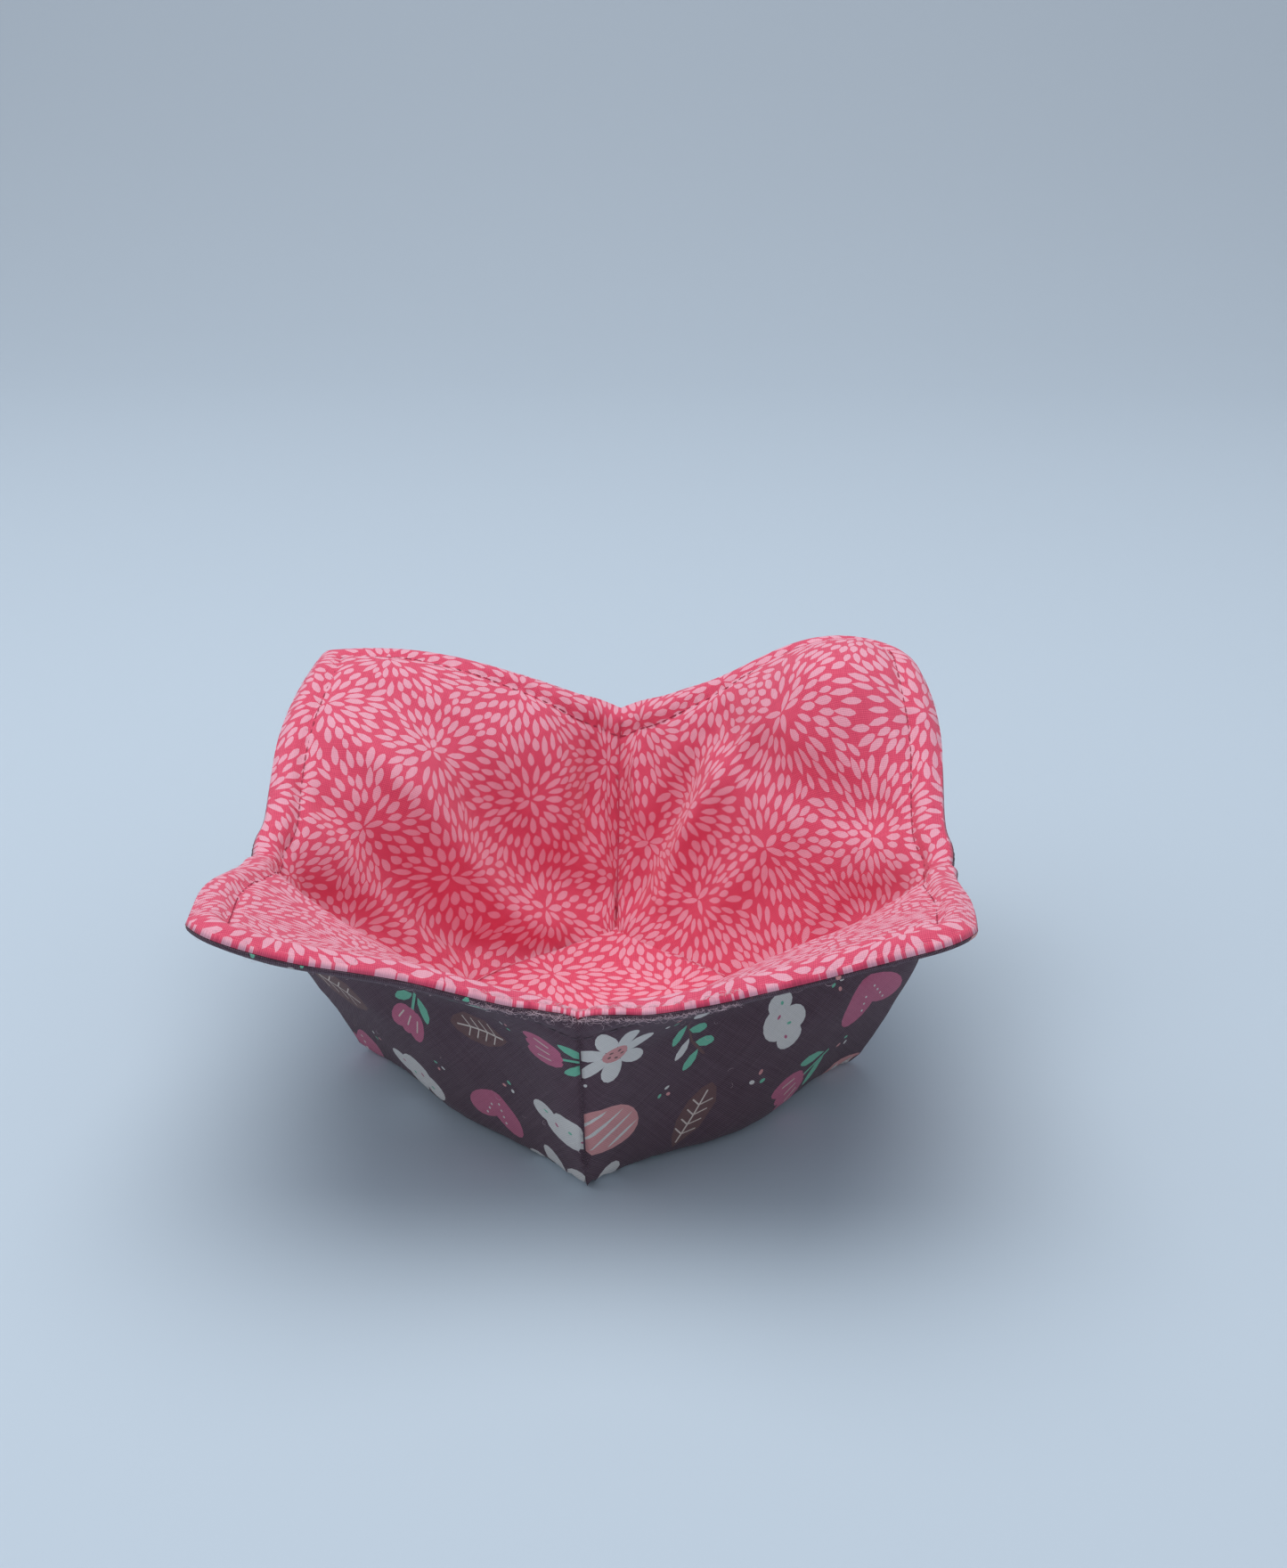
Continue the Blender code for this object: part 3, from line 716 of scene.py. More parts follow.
def mesh_object(name, points, faces, materials, index=None, uv=None):
    mesh = bpy.data.meshes.new(name)
    mesh.from_pydata([tuple(p) for p in points], [], [tuple(int(i) for i in f) for f in faces])
    for material in materials:
        mesh.materials.append(material)
    if index is not None:
        mesh.polygons.foreach_set("material_index", np.asarray(index, dtype=np.int32))
    mesh.polygons.foreach_set("use_smooth", np.ones(len(mesh.polygons), dtype=bool))
    if uv is not None:
        layer = mesh.uv_layers.new(name="cloth")
        layer.data.foreach_set("uv", np.asarray(uv, dtype=np.float32).ravel())
    mesh.update()
    piece = bpy.data.objects.new(name, mesh)
    bpy.context.scene.collection.objects.link(piece)
    return piece


def close_shell(name, front, back, layout, inside, materials):
    """A thin closed piece from its two faces, joined along the rim."""
    flat, triangles, colours, same = layout
    count = len(flat)
    seam = same[triangles]
    out = slice(None) if inside else slice(None, None, -1)
    turned = slice(None, None, -1) if inside else slice(None)
    faces = [tuple(f) for f in seam[:, out]] + [tuple(f) for f in seam[:, turned] + count]
    directed = {edge: colour for (a, b, c), colour in zip(seam.tolist(), colours)
                for edge in ((a, b), (b, c), (c, a))}
    open_edges = {(a, b): colour for (a, b), colour in directed.items() if (b, a) not in directed}
    strip = [(a, a + count, b + count, b) for a, b in open_edges]
    strip = [quad if inside else quad[::-1] for quad in strip]
    # the flat place of each corner, for the weave
    corners = np.concatenate([triangles[:, out].ravel(), triangles[:, turned].ravel(),
                              np.array(strip).ravel() % count])
    index = np.concatenate([colours, np.zeros(len(colours), int), list(open_edges.values())])
    faces += strip
    used = sorted({int(i) for f in faces for i in f})
    number = {old: new for new, old in enumerate(used)}
    faces = [tuple(number[int(i)] for i in f) for f in faces]
    points = np.vstack([front, back])[used]
    return mesh_object(name, points, faces, materials, index, flat[corners] / 1000)


def bend_of(wall, flat, place):
    """How far the whole wall leans in or out of its even shape, as sewn cloth does."""
    lean = ripple(place, *WALL_RIPPLE, 4) + 0.5 * folds(flat) * ease(wall.inset(flat) / SETTLE)
    return lean * ease(place[:, 2] / SETTLE)


def relief(wall, flat, place, inside):
    """Height of a cloth's printed face, with the ripples of sewn cloth and the lining's folds."""
    inset = wall.inset(flat)
    small = ripple(place, *CLOTH_RIPPLE, 1 if inside else 2) + ripple(place, *FINE_RIPPLE, 3)
    height = wall.face(flat, inside) + small * ease(inset / SETTLE)
    if inside:
        height = height + 0.5 * folds(flat) * ease((inset - 0.007) / 0.013)
        height = np.maximum(height, 0.0014 * ease((inset - 0.004) / 0.004))
    return height


def above_face(wall, flat, inside, lift):
    """Points a little above a cloth's printed face, with the directions out of the cloth."""
    place, inward = wall.sewn(flat)
    sign = 1.0 if inside else -1.0
    height = sign * (relief(wall, flat, place, inside) + lift) + bend_of(wall, flat, place)
    return place + inward * height[:, None], inward * sign / np.linalg.norm(inward, axis=1)[:, None]


def sew_cloth(name, wall, layout, inside, materials):
    """One cloth: its printed face, its wrong side and the edge turned in at the rim."""
    flat = layout[0] / 1000
    place, inward = wall.sewn(flat)
    sign = 1.0 if inside else -1.0
    inset = wall.inset(flat)
    height = relief(wall, flat, place, inside)
    middle = sign * wall.seam_side(inset)
    # the wrong side is a cloth's thickness behind, but in the seam allowance it runs in to the seam
    back = middle + 0.00008 + (height - middle - 0.00053) * ease((inset - 0.0037) / 0.001)
    bend = bend_of(wall, flat, place)
    front = place + inward * (sign * height + bend)[:, None]
    wrong = place + inward * (sign * back + bend)[:, None]
    front[:, 2] = np.maximum(front[:, 2], 0.0)
    return close_shell(name, front, wrong, layout, inside, materials)


def sew_batting(name, wall, inside, material):
    """A layer of batting, cut back from the rim and squeezed under the topstitch."""
    edge, pairs = outline(wall, 4.0, BATTING_INSET)
    loose = np.vstack([rings(wall, (0.0072, 0.0085, 0.0100, 0.0125), 4.0),
                       beside_darts(wall, (0.0012, 0.003), 4.0), field(wall, 3.4)])
    loose = loose[in_cloth(wall, loose, 0.8) & (wall.inset(loose / 1000) > 0.0062)]
    layout = sewn_triangles(np.vstack([edge, loose]), [list(range(len(edge)))], [0], pairs)
    flat = layout[0] / 1000
    place, inward = wall.sewn(flat)
    sign = 1.0 if inside else -1.0
    height = relief(wall, flat, place, inside) - BATTING_DEPTH
    bend = bend_of(wall, flat, place)
    front = place + inward * (sign * np.maximum(height, 0.0003) + bend)[:, None]
    behind = place + inward * (sign * 0.00015 + bend)[:, None]
    return close_shell(name, front, behind, layout, inside, [material])


# Nodes

def fill(tree, node, inputs):
    """Fills a node's inputs, by name or number: a socket is linked and a value is set."""
    for key, value in inputs.items():
        if isinstance(value, bpy.types.NodeSocket):
            tree.links.new(value, node.inputs[key])
        else:
            node.inputs[key].default_value = value


def add_node(tree, kind, inputs=None, **settings):
    """A new node with its settings made and its inputs filled."""
    node = tree.nodes.new(kind)
    for key, value in settings.items():
        setattr(node, key, value)
    fill(tree, node, inputs or {})
    return node


def calculate(tree, operation, *values):
    return add_node(tree, "ShaderNodeMath", dict(enumerate(values)), operation=operation).outputs[0]


# Materials

def node_material(name):
    material = bpy.data.materials.new(name)
    material.use_nodes = True
    return material, material.node_tree, material.node_tree.nodes["Principled BSDF"]


def tinted(colour, share):
    return [min(c * share, 1) for c in colour]


def grain(tree, scale, detail=2.0):
    """Noise through the object, from 0 to 1."""
    place = add_node(tree, "ShaderNodeTexCoord").outputs["Object"]
    fine = add_node(tree, "ShaderNodeTexNoise", {"Vector": place, "Scale": scale, "Detail": detail})
    return fine.outputs["Fac"]


def ramp_of(tree, level, low, high, low_at=0.0, high_at=1.0):
    """Colours from a low to a high one, as a level rises."""
    ramp = add_node(tree, "ShaderNodeValToRGB", {"Fac": level})
    for element, position, colour in zip(ramp.color_ramp.elements, (low_at, high_at), (low, high)):
        element.position = position
        element.color = (*colour, 1)
    return ramp


def bump_of(tree, strength, distance, height):
    return add_node(tree, "ShaderNodeBump", {"Strength": strength, "Distance": distance, "Height": height})


def darkened(tree, factor, colour, shade):
    """A colour multiplied by a shade, as far as the factor says."""
    mix = add_node(tree, "ShaderNodeMix", {"Factor": factor, "A": colour, "B": (*shade, 1)},
                   data_type="RGBA", blend_type="MULTIPLY")
    return mix.outputs["Result"]


def weave_group(pitch):
    """A plain weave over the cloth's own flat map: thread height, tint and slubs."""
    group = bpy.data.node_groups.new("plain weave", "ShaderNodeTree")
    for output in ("Height", "Tint", "Slub"):
        group.interface.new_socket(output, in_out="OUTPUT", socket_type="NodeSocketFloat")

    def do(operation, *values):
        return calculate(group, operation, *values)

    flat = add_node(group, "ShaderNodeUVMap", uv_map="cloth").outputs[0]
    wander = add_node(group, "ShaderNodeTexNoise", {"Vector": flat, "Scale": 90.0, "Detail": 1.0})
    shifted = add_node(group, "ShaderNodeVectorMath", operation="MULTIPLY_ADD")
    fill(group, shifted, {0: wander.outputs["Color"], 1: (0.0009, 0.0009, 0.0), 2: flat})
    threads = add_node(group, "ShaderNodeVectorMath", operation="SCALE")
    fill(group, threads, {0: shifted.outputs[0], "Scale": 1.0 / pitch})
    parts = add_node(group, "ShaderNodeSeparateXYZ", {0: threads.outputs[0]})
    u, v = parts.outputs[0], parts.outputs[1]
    warp, weft = (do("ABSOLUTE", do("SINE", do("MULTIPLY", count, math.pi))) for count in (u, v))
    over = do("FLOORED_MODULO", do("ADD", do("FLOOR", u), do("FLOOR", v)), 2.0)
    up = do("MULTIPLY", warp, do("MULTIPLY_ADD", weft, 0.55, 0.45))
    across = do("MULTIPLY", weft, do("MULTIPLY_ADD", warp, 0.55, 0.45))
    height = do("ADD", do("MULTIPLY", up, over), do("MULTIPLY", across, do("SUBTRACT", 1.0, over)))
    streaks = []
    for stretch in ((1500.0, 55.0, 0.0), (55.0, 1500.0, 0.0)):
        spread = add_node(group, "ShaderNodeVectorMath", {0: flat, 1: stretch}, operation="MULTIPLY")
        thread = add_node(group, "ShaderNodeTexNoise",
                          {"Vector": spread.outputs[0], "Scale": 1.0, "Detail": 2.0, "Roughness": 0.6})
        streaks.append(thread.outputs["Fac"])
    slub = do("MULTIPLY", do("ADD", *streaks), 0.5)
    tint = do("ADD", do("MULTIPLY", height, 0.5), do("MULTIPLY", slub, 0.5))
    add_node(group, "NodeGroupOutput", {"Height": height, "Tint": tint, "Slub": slub})
    return group


def cloth_material(name, weave, colour, deep, pale, fuzz, sheen):
    """Printed cotton: its colour between a deep and a pale thread tint, woven bump and soft sheen."""
    material, tree, shader = node_material(name)
    threads = add_node(tree, "ShaderNodeGroup", node_tree=weave).outputs
    faded = [min(c * pale + fuzz * (0.9 - c), 1) for c in colour]
    ramp = ramp_of(tree, threads["Tint"], tinted(colour, deep), faded, 0.22, 0.8)
    ramp.color_ramp.elements.new(0.5).color = (*colour, 1)
    mottle = calculate(tree, "MULTIPLY", grain(tree, 55.0, 3.0), 0.22)
    woven = bump_of(tree, 0.55, 0.00012, threads["Height"])
    slubbed = bump_of(tree, 0.35, 0.0002, threads["Slub"])
    fill(tree, slubbed, {"Normal": woven.outputs["Normal"]})
    fill(tree, shader, {
        "Base Color": darkened(tree, mottle, ramp.outputs["Color"], (0.72, 0.70, 0.72)),
        "Roughness": calculate(tree, "MULTIPLY_ADD", threads["Slub"], -0.15, 0.93),
        "Specular IOR Level": 0.25,
        "Sheen Weight": sheen,
        "Sheen Roughness": 0.5,
        "Normal": slubbed.outputs["Normal"],
    })
    return material


def fibre_material(name, scale, detail, low, high, roughness, strength, depth):
    """Fibres too fine to draw: a grain that goes from a low to a high colour and stands out."""
    material, tree, shader = node_material(name)
    fibres = grain(tree, scale, detail)
    fill(tree, shader, {
        "Base Color": ramp_of(tree, fibres, low, high).outputs["Color"],
        "Roughness": roughness,
        "Normal": bump_of(tree, strength, depth, fibres).outputs["Normal"],
    })
    return material


def thread_material(name, colour):
    """Twisted sewing thread."""
    return fibre_material(name, 4200.0, 2.0, tinted(colour, 0.65), tinted(colour, 1.25), 0.6, 0.4, 0.00005)


def batting_material(name, colour):
    """Needled cotton batting, matted and uneven."""
    return fibre_material(name, 700.0, 5.0, tinted(colour, 0.8), colour, 0.95, 0.8, 0.0006)


def stage_material(name, colour, far_shade_share):
    """Plain paper sweep with a faint mottle, and painted shade that darkens it towards its far end."""
    material, tree, shader = node_material(name)
    ramp = ramp_of(tree, grain(tree, 2.0), tinted(colour, 0.97), colour)
    place = add_node(tree, "ShaderNodeTexCoord").outputs["Object"]
    parts = add_node(tree, "ShaderNodeSeparateXYZ", {0: place})
    # painted shade: the paper grows darker from the floor near the bowl up to the top of the sweep
    back = add_node(tree, "ShaderNodeMapRange", {
        "Value": calculate(tree, "ADD", parts.outputs[1], parts.outputs[2]),
        "From Min": 0.15,
        "From Max": 1.25,
    }, interpolation_type="SMOOTHSTEP")
    # the colour that the painted shade multiplies in at the far end
    far = (far_shade_share, far_shade_share * 0.985, far_shade_share * 0.985)
    fill(tree, shader, {
        "Base Color": darkened(tree, back.outputs["Result"], ramp.outputs["Color"], far),
        "Roughness": 0.7,
    })
    return material


# Geometry nodes

def shape_tree(name, sizes):
    """A tree that takes geometry, named sizes and a material, with its input node."""
    tree = bpy.data.node_groups.new(name, "GeometryNodeTree")
    kinds = [("Geometry", "INPUT", "Geometry"), *((size, "INPUT", "Float") for size in sizes),
             ("Material", "INPUT", "Material"), ("Geometry", "OUTPUT", "Geometry")]
    for label, way, kind in kinds:
        tree.interface.new_socket(label, in_out=way, socket_type="NodeSocket" + kind)
    return tree, add_node(tree, "NodeGroupInput")


def up_of(tree):
    """The direction out of the cloth, which each point carries."""
    up = add_node(tree, "GeometryNodeInputNamedAttribute", {"Name": "up"}, data_type="FLOAT_VECTOR")
    return up.outputs["Attribute"]


def instances(tree, material, **inputs):
    """Ends a tree with real copies of an instance on its points, in one material."""
    placed = add_node(tree, "GeometryNodeInstanceOnPoints", inputs)
    real = add_node(tree, "GeometryNodeRealizeInstances", {0: placed.outputs[0]})
    painted = add_node(tree, "GeometryNodeSetMaterial", {"Geometry": real.outputs[0], "Material": material})
    add_node(tree, "NodeGroupOutput", {"Geometry": painted.outputs[0]})
    return tree


def stitch_tree():
    """Instances one short stitch along each path, lying flat on the cloth."""
    tree, given = shape_tree("topstitching", ("Pitch", "Length", "Thread"))
    length, thread = given.outputs["Length"], given.outputs["Thread"]
    path = add_node(tree, "GeometryNodeMeshToCurve", {"Mesh": given.outputs["Geometry"]})
    holes = add_node(tree, "GeometryNodeResampleCurve", mode="LENGTH")
    fill(tree, holes, {"Curve": path.outputs["Curve"], "Length": given.outputs["Pitch"]})
    tangent = add_node(tree, "GeometryNodeInputTangent")
    ahead = add_node(tree, "FunctionNodeAlignRotationToVector", {"Vector": tangent.outputs[0]}, axis="X")
    lying = add_node(tree, "FunctionNodeAlignRotationToVector",
                     {"Rotation": ahead.outputs[0], "Vector": up_of(tree)}, axis="Z", pivot_axis="X")
    ball = add_node(tree, "GeometryNodeMeshUVSphere", {"Segments": 6, "Rings": 6, "Radius": 0.5})
    turn = add_node(tree, "GeometryNodeTransform",
                    {"Geometry": ball.outputs[0], "Rotation": (0.0, math.pi / 2, 0.0)})
    size = add_node(tree, "ShaderNodeCombineXYZ", {0: length, 1: thread, 2: thread})
    stitch = add_node(tree, "GeometryNodeTransform", {"Geometry": turn.outputs[0], "Scale": size.outputs[0]})
    uneven = add_node(tree, "FunctionNodeRandomValue", {0: (0.9, 0.85, 0.85), 1: (1.06, 1.1, 1.1), "Seed": 3},
                      data_type="FLOAT_VECTOR")
    return instances(tree, given.outputs["Material"], Points=holes.outputs[0], Instance=stitch.outputs[0],
                     Rotation=lying.outputs[0], Scale=uneven.outputs[0])


def lint_tree():
    """Instances a short bent fibre on each point, lying roughly along the cloth."""
    tree, given = shape_tree("lint", ("Length", "Thickness"))
    fibre = add_node(tree, "GeometryNodeCurveQuadraticBezier", {
        "Resolution": 4,
        "Start": (-0.5, 0.0, 0.0),
        "Middle": (0.1, 0.45, 0.5),
        "End": (0.5, -0.1, 0.12),
    })
    scale = add_node(tree, "ShaderNodeCombineXYZ", {i: given.outputs["Length"] for i in range(3)})
    sized = add_node(tree, "GeometryNodeTransform", {"Geometry": fibre.outputs[0], "Scale": scale.outputs[0]})
    ring = add_node(tree, "GeometryNodeCurvePrimitiveCircle",
                    {"Resolution": 3, "Radius": given.outputs["Thickness"]})
    tube = add_node(tree, "GeometryNodeCurveToMesh",
                    {"Curve": sized.outputs[0], "Profile Curve": ring.outputs[0], "Fill Caps": True})
    align = add_node(tree, "FunctionNodeAlignRotationToVector", {"Vector": up_of(tree)}, axis="Z")
    spin = add_node(tree, "FunctionNodeRandomValue", {0: (-0.5, -0.5, -3.14), 1: (0.5, 0.5, 3.14), "Seed": 5},
                    data_type="FLOAT_VECTOR")
    turn = add_node(tree, "FunctionNodeEulerToRotation", {0: spin.outputs[0]})
    lying = add_node(tree, "FunctionNodeRotateRotation",
                     {"Rotation": align.outputs[0], "Rotate By": turn.outputs[0]}, rotation_space="LOCAL")
    uneven = add_node(tree, "FunctionNodeRandomValue", {2: 0.3, 3: 1.3, "Seed": 8}, data_type="FLOAT")
    return instances(tree, given.outputs["Material"], Points=given.outputs["Geometry"],
                     Instance=tube.outputs[0], Rotation=lying.outputs[0], Scale=uneven.outputs[1])


def lint_places(wall):
    """Points where lint clings: thick along the front rim, sparse elsewhere."""
    rng = np.random.default_rng(7)
    edge = rings(wall, (0.0001, 0.0003, 0.0006), 0.6) / 1000
    rim = rings(wall, (0.0008, 0.0016, 0.0032), 0.6) / 1000
    # the front of the bowl, where the photograph shows most lint
    front, low = (p[(p[:, 1] < -0.100) & (np.abs(p[:, 0] - 0.006) < 0.062)] for p in (edge, rim))
    panel = rng.uniform(-wall.half, wall.half, (900, 2))
    on_wall = np.abs(panel).sum(axis=1) / ROOT2 > wall.crease + 0.006
    panel = panel[in_cloth(wall, panel * 1000, 1.0) & on_wall & (panel.sum(axis=1) < 0)]
    picks = ((front, 430, False), (front, 260, True), (low, 110, False),
             (rim, 90, False), (edge, 150, True), (panel, 60, False))
    found = [above_face(wall, flat[rng.integers(0, len(flat), count)], inside, LINT_LIFT)
             for flat, count, inside in picks]
    return [np.vstack(parts) for parts in zip(*found)]


def through_nodes(source, tree, name, values):
    """Runs a node tree on an object and keeps the result as a plain mesh piece."""
    modifier = source.modifiers.new("shape", "NODES")
    modifier.node_group = tree
    sockets = {item.name: item.identifier for item in tree.interface.items_tree
               if item.item_type == "SOCKET" and item.in_out == "INPUT"}
    for key, value in values.items():
        modifier[sockets[key]] = value
    bpy.context.view_layer.update()
    graph = bpy.context.evaluated_depsgraph_get()
    mesh = bpy.data.meshes.new_from_object(source.evaluated_get(graph), depsgraph=graph)
    mesh.name = name
    mesh.polygons.foreach_set("use_smooth", np.ones(len(mesh.polygons), dtype=bool))
    piece = bpy.data.objects.new(name, mesh)
    bpy.context.scene.collection.objects.link(piece)
    bpy.data.objects.remove(source, do_unlink=True)
    return piece


def stitch_path(wall, inside):
    """The closed line of the topstitch on one face, with the direction out of the cloth."""
    side = rings(wall, (wall.sizes.stitch_inset,), 1.0) / 1000
    angle = np.arctan2(side[:, 1], side[:, 0])
    return above_face(wall, side[np.argsort(angle)], inside, STITCH_LIFT)


def path_object(points, up, closed):
    """Points that carry a direction, joined into a closed path where it is one."""
    mesh = bpy.data.meshes.new("path")
    count = len(points)
    edges = [(i, (i + 1) % count) for i in range(count)] if closed else []
    mesh.from_pydata([tuple(p) for p in points], edges, [])
    attribute = mesh.attributes.new("up", "FLOAT_VECTOR", "POINT")
    attribute.data.foreach_set("vector", up.astype(np.float32).ravel())
    path = bpy.data.objects.new("path", mesh)
    bpy.context.scene.collection.objects.link(path)
    return path


# Settings shown in the sidebar

def length(name, description, default):
    return bpy.props.FloatProperty(name=name, description=description, default=default,
                                   unit="LENGTH", precision=5)


def paint(name, description, default):
    return bpy.props.FloatVectorProperty(name=name, description=description, default=default, size=3,
                                         min=0.0, max=1.0, subtype="COLOR")


class CozySizes(bpy.types.PropertyGroup):
    square_side: length("Square side", "Side of each square as cut", 0.254)
    seam_allowance: length("Seam allowance", "Cloth taken up by the seam at the rim", 0.00635)
    dart_length: length("Dart length", "From the sewn rim to the tip of the dart", 0.058)
    dart_half_width: length("Dart half width", "Cloth taken in on each side of the dart at the rim", 0.030)
    dart_top_fairing: length("Dart top fairing", "Radius that smooths the rim across a dart", 0.035)
    dart_round: length("Dart round", "Radius of the wall's corner at each dart, by the rim", 0.012)
    corner_round: length("Corner round", "Radius of the sewn corners", 0.012)
    cloth_thickness: length("Cloth thickness", "Thickness of each cloth", 0.0005)
    batting_thickness: length("Batting thickness", "Thickness of each layer of batting", 0.0018)
    layer_gap: length("Layer gap", "Space between two layers", 0.0003)
    stitch_inset: length("Topstitch inset", "From the rim in to the topstitch", 0.0085)
    stitch_length: length("Stitch length", "From one needle hole to the next", 0.0031)
    thread_pitch: length("Thread pitch", "From one thread of the weave to the next", 0.00042)
    thread_width: length("Thread width", "Thickness of the sewing thread", 0.00042)
    fibre_length: length("Lint length", "Length of a fibre of lint", 0.0017)
    fibre_width: length("Lint width", "Width of a fibre of lint", 0.000055)
    petal_length: length("Petal length", "Length of a printed petal", 0.0049)
    petal_width: length("Petal width", "Width of a printed petal", 0.0020)
    burst_spacing: length("Burst spacing", "Distance between two bursts of petals", 0.0325)
    motif_spacing: length("Motif spacing", "Distance between two motifs on the outer cloth", 0.0305)


class CozyColours(bpy.types.PropertyGroup):
    lining_ground: paint("Lining ground", "Ground of the lining", (0.84, 0.078, 0.168))
    lining_petal: paint("Lining petals", "Petals on the lining", (0.95, 0.41, 0.52))
    outer_ground: paint("Outer ground", "Ground of the outer cloth", (0.090, 0.046, 0.066))
    rose: paint("Rose", "Rose print", (0.55, 0.13, 0.23))
    salmon: paint("Salmon", "Salmon print", (0.70, 0.30, 0.30))
    cream: paint("Cream", "Off-white print", (0.74, 0.70, 0.67))
    mint: paint("Mint", "Mint print", (0.18, 0.54, 0.37))
    cocoa: paint("Cocoa", "Brown print", (0.16, 0.075, 0.075))
    chalk: paint("Chalk", "Pale drawn lines", (0.72, 0.60, 0.54))
    lining_thread: paint("Lining thread", "Thread seen on the lining", (0.42, 0.035, 0.085))
    outer_thread: paint("Outer thread", "Thread seen on the outer cloth", (0.10, 0.07, 0.09))
    lint: paint("Lint", "Lint on the rim", (0.86, 0.60, 0.66))
    batting: paint("Batting", "Batting inside", (0.80, 0.77, 0.71))
    floor: paint("Floor", "Paper sweep", (0.56, 0.65, 0.74))


def cloth_area(sizes):
    """The flat square less its four darts."""
    return sizes.square_side ** 2 - 4 * sizes.dart_length * sizes.dart_half_width


def settings():
    return bpy.context.scene.cozy_sizes, bpy.context.scene.cozy_colours


class COZY_OT_lining(bpy.types.Operator):
    """Sews the lining, printed with bursts of petals"""

    bl_idname = "cozy.lining"
    bl_label = "Lining"

    def execute(self, context):
        sizes, colours = settings()
        wall = Wall(sizes)
        weave = weave_group(sizes.thread_pitch)
        materials = [
            cloth_material("lining ground", weave, colours.lining_ground, 0.76, 1.14, 0.10, 0.2),
            cloth_material("lining petals", weave, colours.lining_petal, 0.82, 1.05, 0.18, 0.2),
        ]
        layout = lay_out(wall, burst_print(wall), 2.8)
        piece = sew_cloth("lining_cloth", wall, layout, True, materials)
        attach(piece, "root")
        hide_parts("lining")
        cloth_area(sizes)
        return {"FINISHED"}


class COZY_OT_outer(bpy.types.Operator):
    """Sews the outer cloth, printed with scattered flowers and leaves"""

    bl_idname = "cozy.outer"
    bl_label = "Outer cloth"

    def execute(self, context):
        sizes, colours = settings()
        wall = Wall(sizes)
        weave = weave_group(sizes.thread_pitch)
        materials = [cloth_material("outer ground", weave, colours.outer_ground, 0.5, 1.7, 0.07, 0.1)]
        for name in ("rose", "salmon", "cream", "mint", "cocoa", "chalk"):
            colour = getattr(colours, name)
            materials.append(cloth_material("outer " + name, weave, colour, 0.78, 1.1, 0.05, 0.15))
        layout = lay_out(wall, meadow_print(wall), 2.6)
        piece = sew_cloth("outer_cloth", wall, layout, False, materials)
        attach(piece, "root")
        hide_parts("outer_shell")
        cloth_area(sizes)
        return {"FINISHED"}


class COZY_OT_batting(bpy.types.Operator):
    """Lays a layer of batting behind each cloth"""

    bl_idname = "cozy.batting"
    bl_label = "Batting"

    def execute(self, context):
        sizes, colours = settings()
        wall = Wall(sizes)
        for node, inside in (("outer_batting", False), ("lining_batting", True)):
            name = node.replace("batting", "wadding")
            piece = sew_batting(name, wall, inside, batting_material(name, colours.batting))
            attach(piece, "root")
            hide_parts(node)
        return {"FINISHED"}


class COZY_OT_topstitch(bpy.types.Operator):
    """Runs the topstitch round the rim, on the lining and on the outer cloth"""

    bl_idname = "cozy.topstitch"
    bl_label = "Topstitch"

    def execute(self, context):
        sizes, colours = settings()
        wall = Wall(sizes)
        tree = stitch_tree()
        for name, inside, colour, slot in (
            ("lining_topstitch", True, colours.lining_thread, "lining_cloth"),
            ("outer_topstitch", False, colours.outer_thread, "outer_cloth"),
        ):
            points, up = stitch_path(wall, inside)
            values = {
                "Pitch": sizes.stitch_length,
                "Length": sizes.stitch_length * 0.82,
                "Thread": sizes.thread_width,
                "Material": thread_material(name, colour),
            }
            piece = through_nodes(path_object(points, up, True), tree, name, values)
            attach(piece, "root")
        return {"FINISHED"}


class COZY_OT_lint(bpy.types.Operator):
    """Leaves a little lint on the rim and the front"""

    bl_idname = "cozy.lint"
    bl_label = "Lint"

    def execute(self, context):
        sizes, colours = settings()
        points, up = lint_places(Wall(sizes))
        values = {
            "Length": sizes.fibre_length,
            "Thickness": sizes.fibre_width / 2,
            "Material": thread_material("lint", colours.lint),
        }
        piece = through_nodes(path_object(points, up, False), lint_tree(), "rim_lint", values)
        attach(piece, "root")
        return {"FINISHED"}


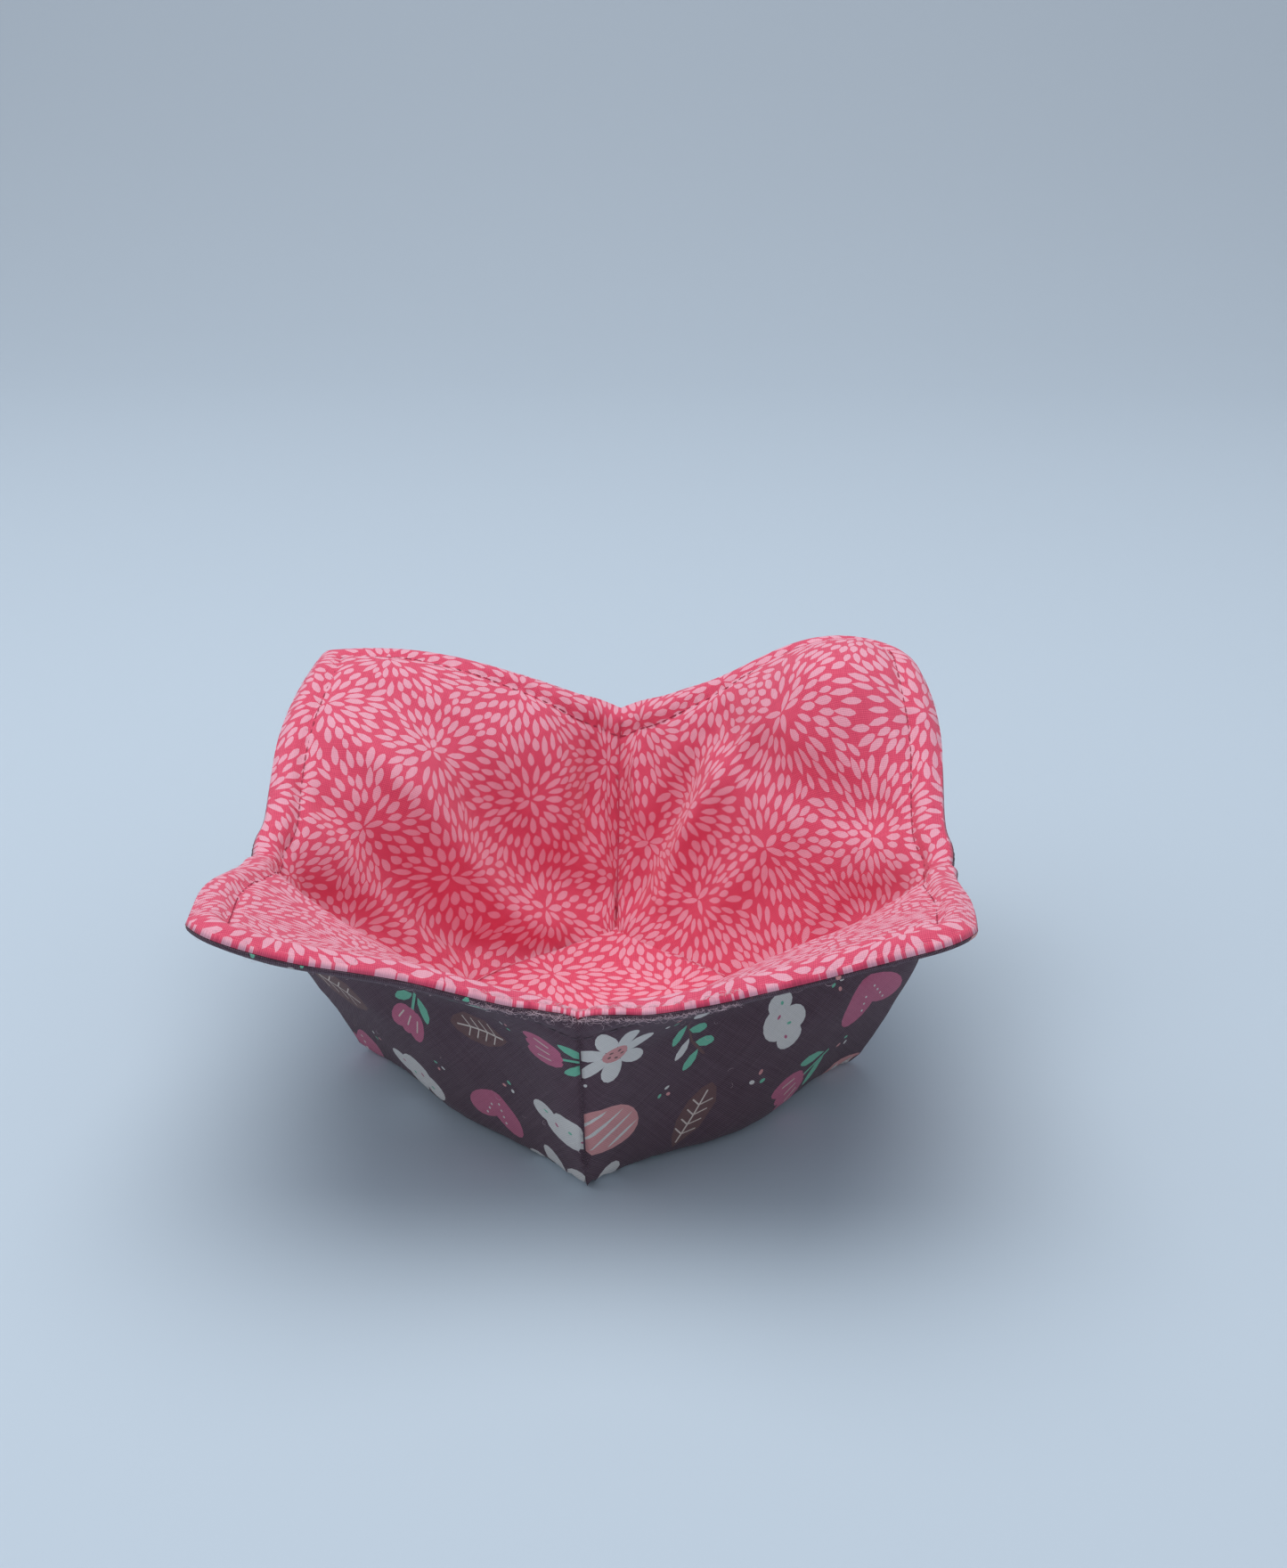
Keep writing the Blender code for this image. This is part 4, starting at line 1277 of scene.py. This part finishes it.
class COZY_OT_stage(bpy.types.Operator):
    """Lays the paper sweep and sets the lamps and the camera"""

    bl_idname = "cozy.stage"
    bl_label = "Stage"

    def execute(self, context):
        colours = settings()[1]
        wide, tall, bend_start, bend_radius = 3.0, 3.0, 0.7, 0.5
        profile = [(-wide, 0.0), (bend_start, 0.0)]
        profile += [(bend_start + bend_radius * math.sin(t), bend_radius - bend_radius * math.cos(t))
                    for t in np.linspace(0.15, math.pi / 2, 12)]
        profile += [(bend_start + bend_radius, tall)]
        points = [(x, y, z - 0.0002) for y, z in profile for x in (-wide, wide)]
        faces = [(2 * i, 2 * i + 1, 2 * i + 3, 2 * i + 2) for i in range(len(profile) - 1)]
        # the paper gets painted shade towards its far end, down to 0.72 of its colour
        floor = mesh_object("paper_sweep", points, faces, [stage_material("paper", colours.floor, 0.72)])

        def lamp(name, place, target, size, power, colour):
            light = bpy.data.lights.new(name, "AREA")
            light.shape = "DISK"
            light.size = size
            light.energy = power
            light.color = colour
            holder = bpy.data.objects.new(name, light)
            holder.location = place
            holder.rotation_euler = (Vector(target) - Vector(place)).to_track_quat("-Z", "Y").to_euler()
            bpy.context.scene.collection.objects.link(holder)

        lamp("window", (-0.8, -0.3, 1.1), (0, 0, 0.03), 1.2, 2.6, (0.88, 0.95, 1.0))
        lamp("ceiling", (-0.07, 0.24, 1.4), (0, 0, 0.03), 1.7, 13.2, (1.0, 0.99, 0.98))
        world = bpy.data.worlds.new("room")
        world.use_nodes = True
        world.node_tree.nodes["Background"].inputs["Color"].default_value = (0.86, 0.92, 1.0, 1)
        world.node_tree.nodes["Background"].inputs["Strength"].default_value = 0.53
        bpy.context.scene.world = world
        bpy.context.scene.view_settings.view_transform = "Standard"

        # fitted to the photograph, with the focal length in its pixels
        photo_height, focal_pixels = 1760.0, 2800.0
        pitch, yaw, distance = math.radians(24.2), math.radians(-2.8), 0.6466
        side, height = 0.0109, 0.0811
        camera = bpy.data.cameras.new("camera")
        camera.sensor_width = 36.0
        camera.lens = camera.sensor_width * focal_pixels / photo_height
        camera.clip_start = 0.05
        camera.clip_end = 20.0
        holder = bpy.data.objects.new("camera", camera)
        turn = Matrix.Rotation(-yaw, 3, "Z")
        ahead = turn @ Vector((0, math.cos(pitch), -math.sin(pitch)))
        holder.location = turn @ Vector((side, 0, height)) - ahead * distance
        holder.rotation_euler = ahead.to_track_quat("-Z", "Y").to_euler()
        bpy.context.scene.collection.objects.link(holder)
        bpy.context.scene.camera = holder
        return {"FINISHED"}


OPERATORS = (COZY_OT_lining, COZY_OT_outer, COZY_OT_batting, COZY_OT_topstitch, COZY_OT_lint,
             COZY_OT_stage)


class COZY_PT_panel(bpy.types.Panel):
    """Sizes, colours and steps of the bowl cozy"""

    bl_idname = "COZY_PT_panel"
    bl_label = "Bowl cozy"
    bl_space_type = "VIEW_3D"
    bl_region_type = "UI"
    bl_category = "Bowl cozy"

    def draw(self, context):
        for group in settings():
            box = self.layout.box()
            for name in group.bl_rna.properties.keys():
                if name not in ("rna_type", "name"):
                    box.prop(group, name)
        for operator in OPERATORS:
            self.layout.operator(operator.bl_idname)


CLASSES = (CozySizes, CozyColours, *OPERATORS, COZY_PT_panel)


def register():
    for cls in CLASSES:
        bpy.utils.register_class(cls)
    bpy.types.Scene.cozy_sizes = bpy.props.PointerProperty(type=CozySizes)
    bpy.types.Scene.cozy_colours = bpy.props.PointerProperty(type=CozyColours)


def unregister():
    del bpy.types.Scene.cozy_colours
    del bpy.types.Scene.cozy_sizes
    for cls in reversed(CLASSES):
        bpy.utils.unregister_class(cls)


def main():
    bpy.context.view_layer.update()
    register()
    bpy.ops.cozy.lining()
    bpy.ops.cozy.outer()
    bpy.ops.cozy.batting()
    bpy.ops.cozy.topstitch()
    bpy.ops.cozy.lint()
    bpy.ops.cozy.stage()


if __name__ == "__main__":
    main()
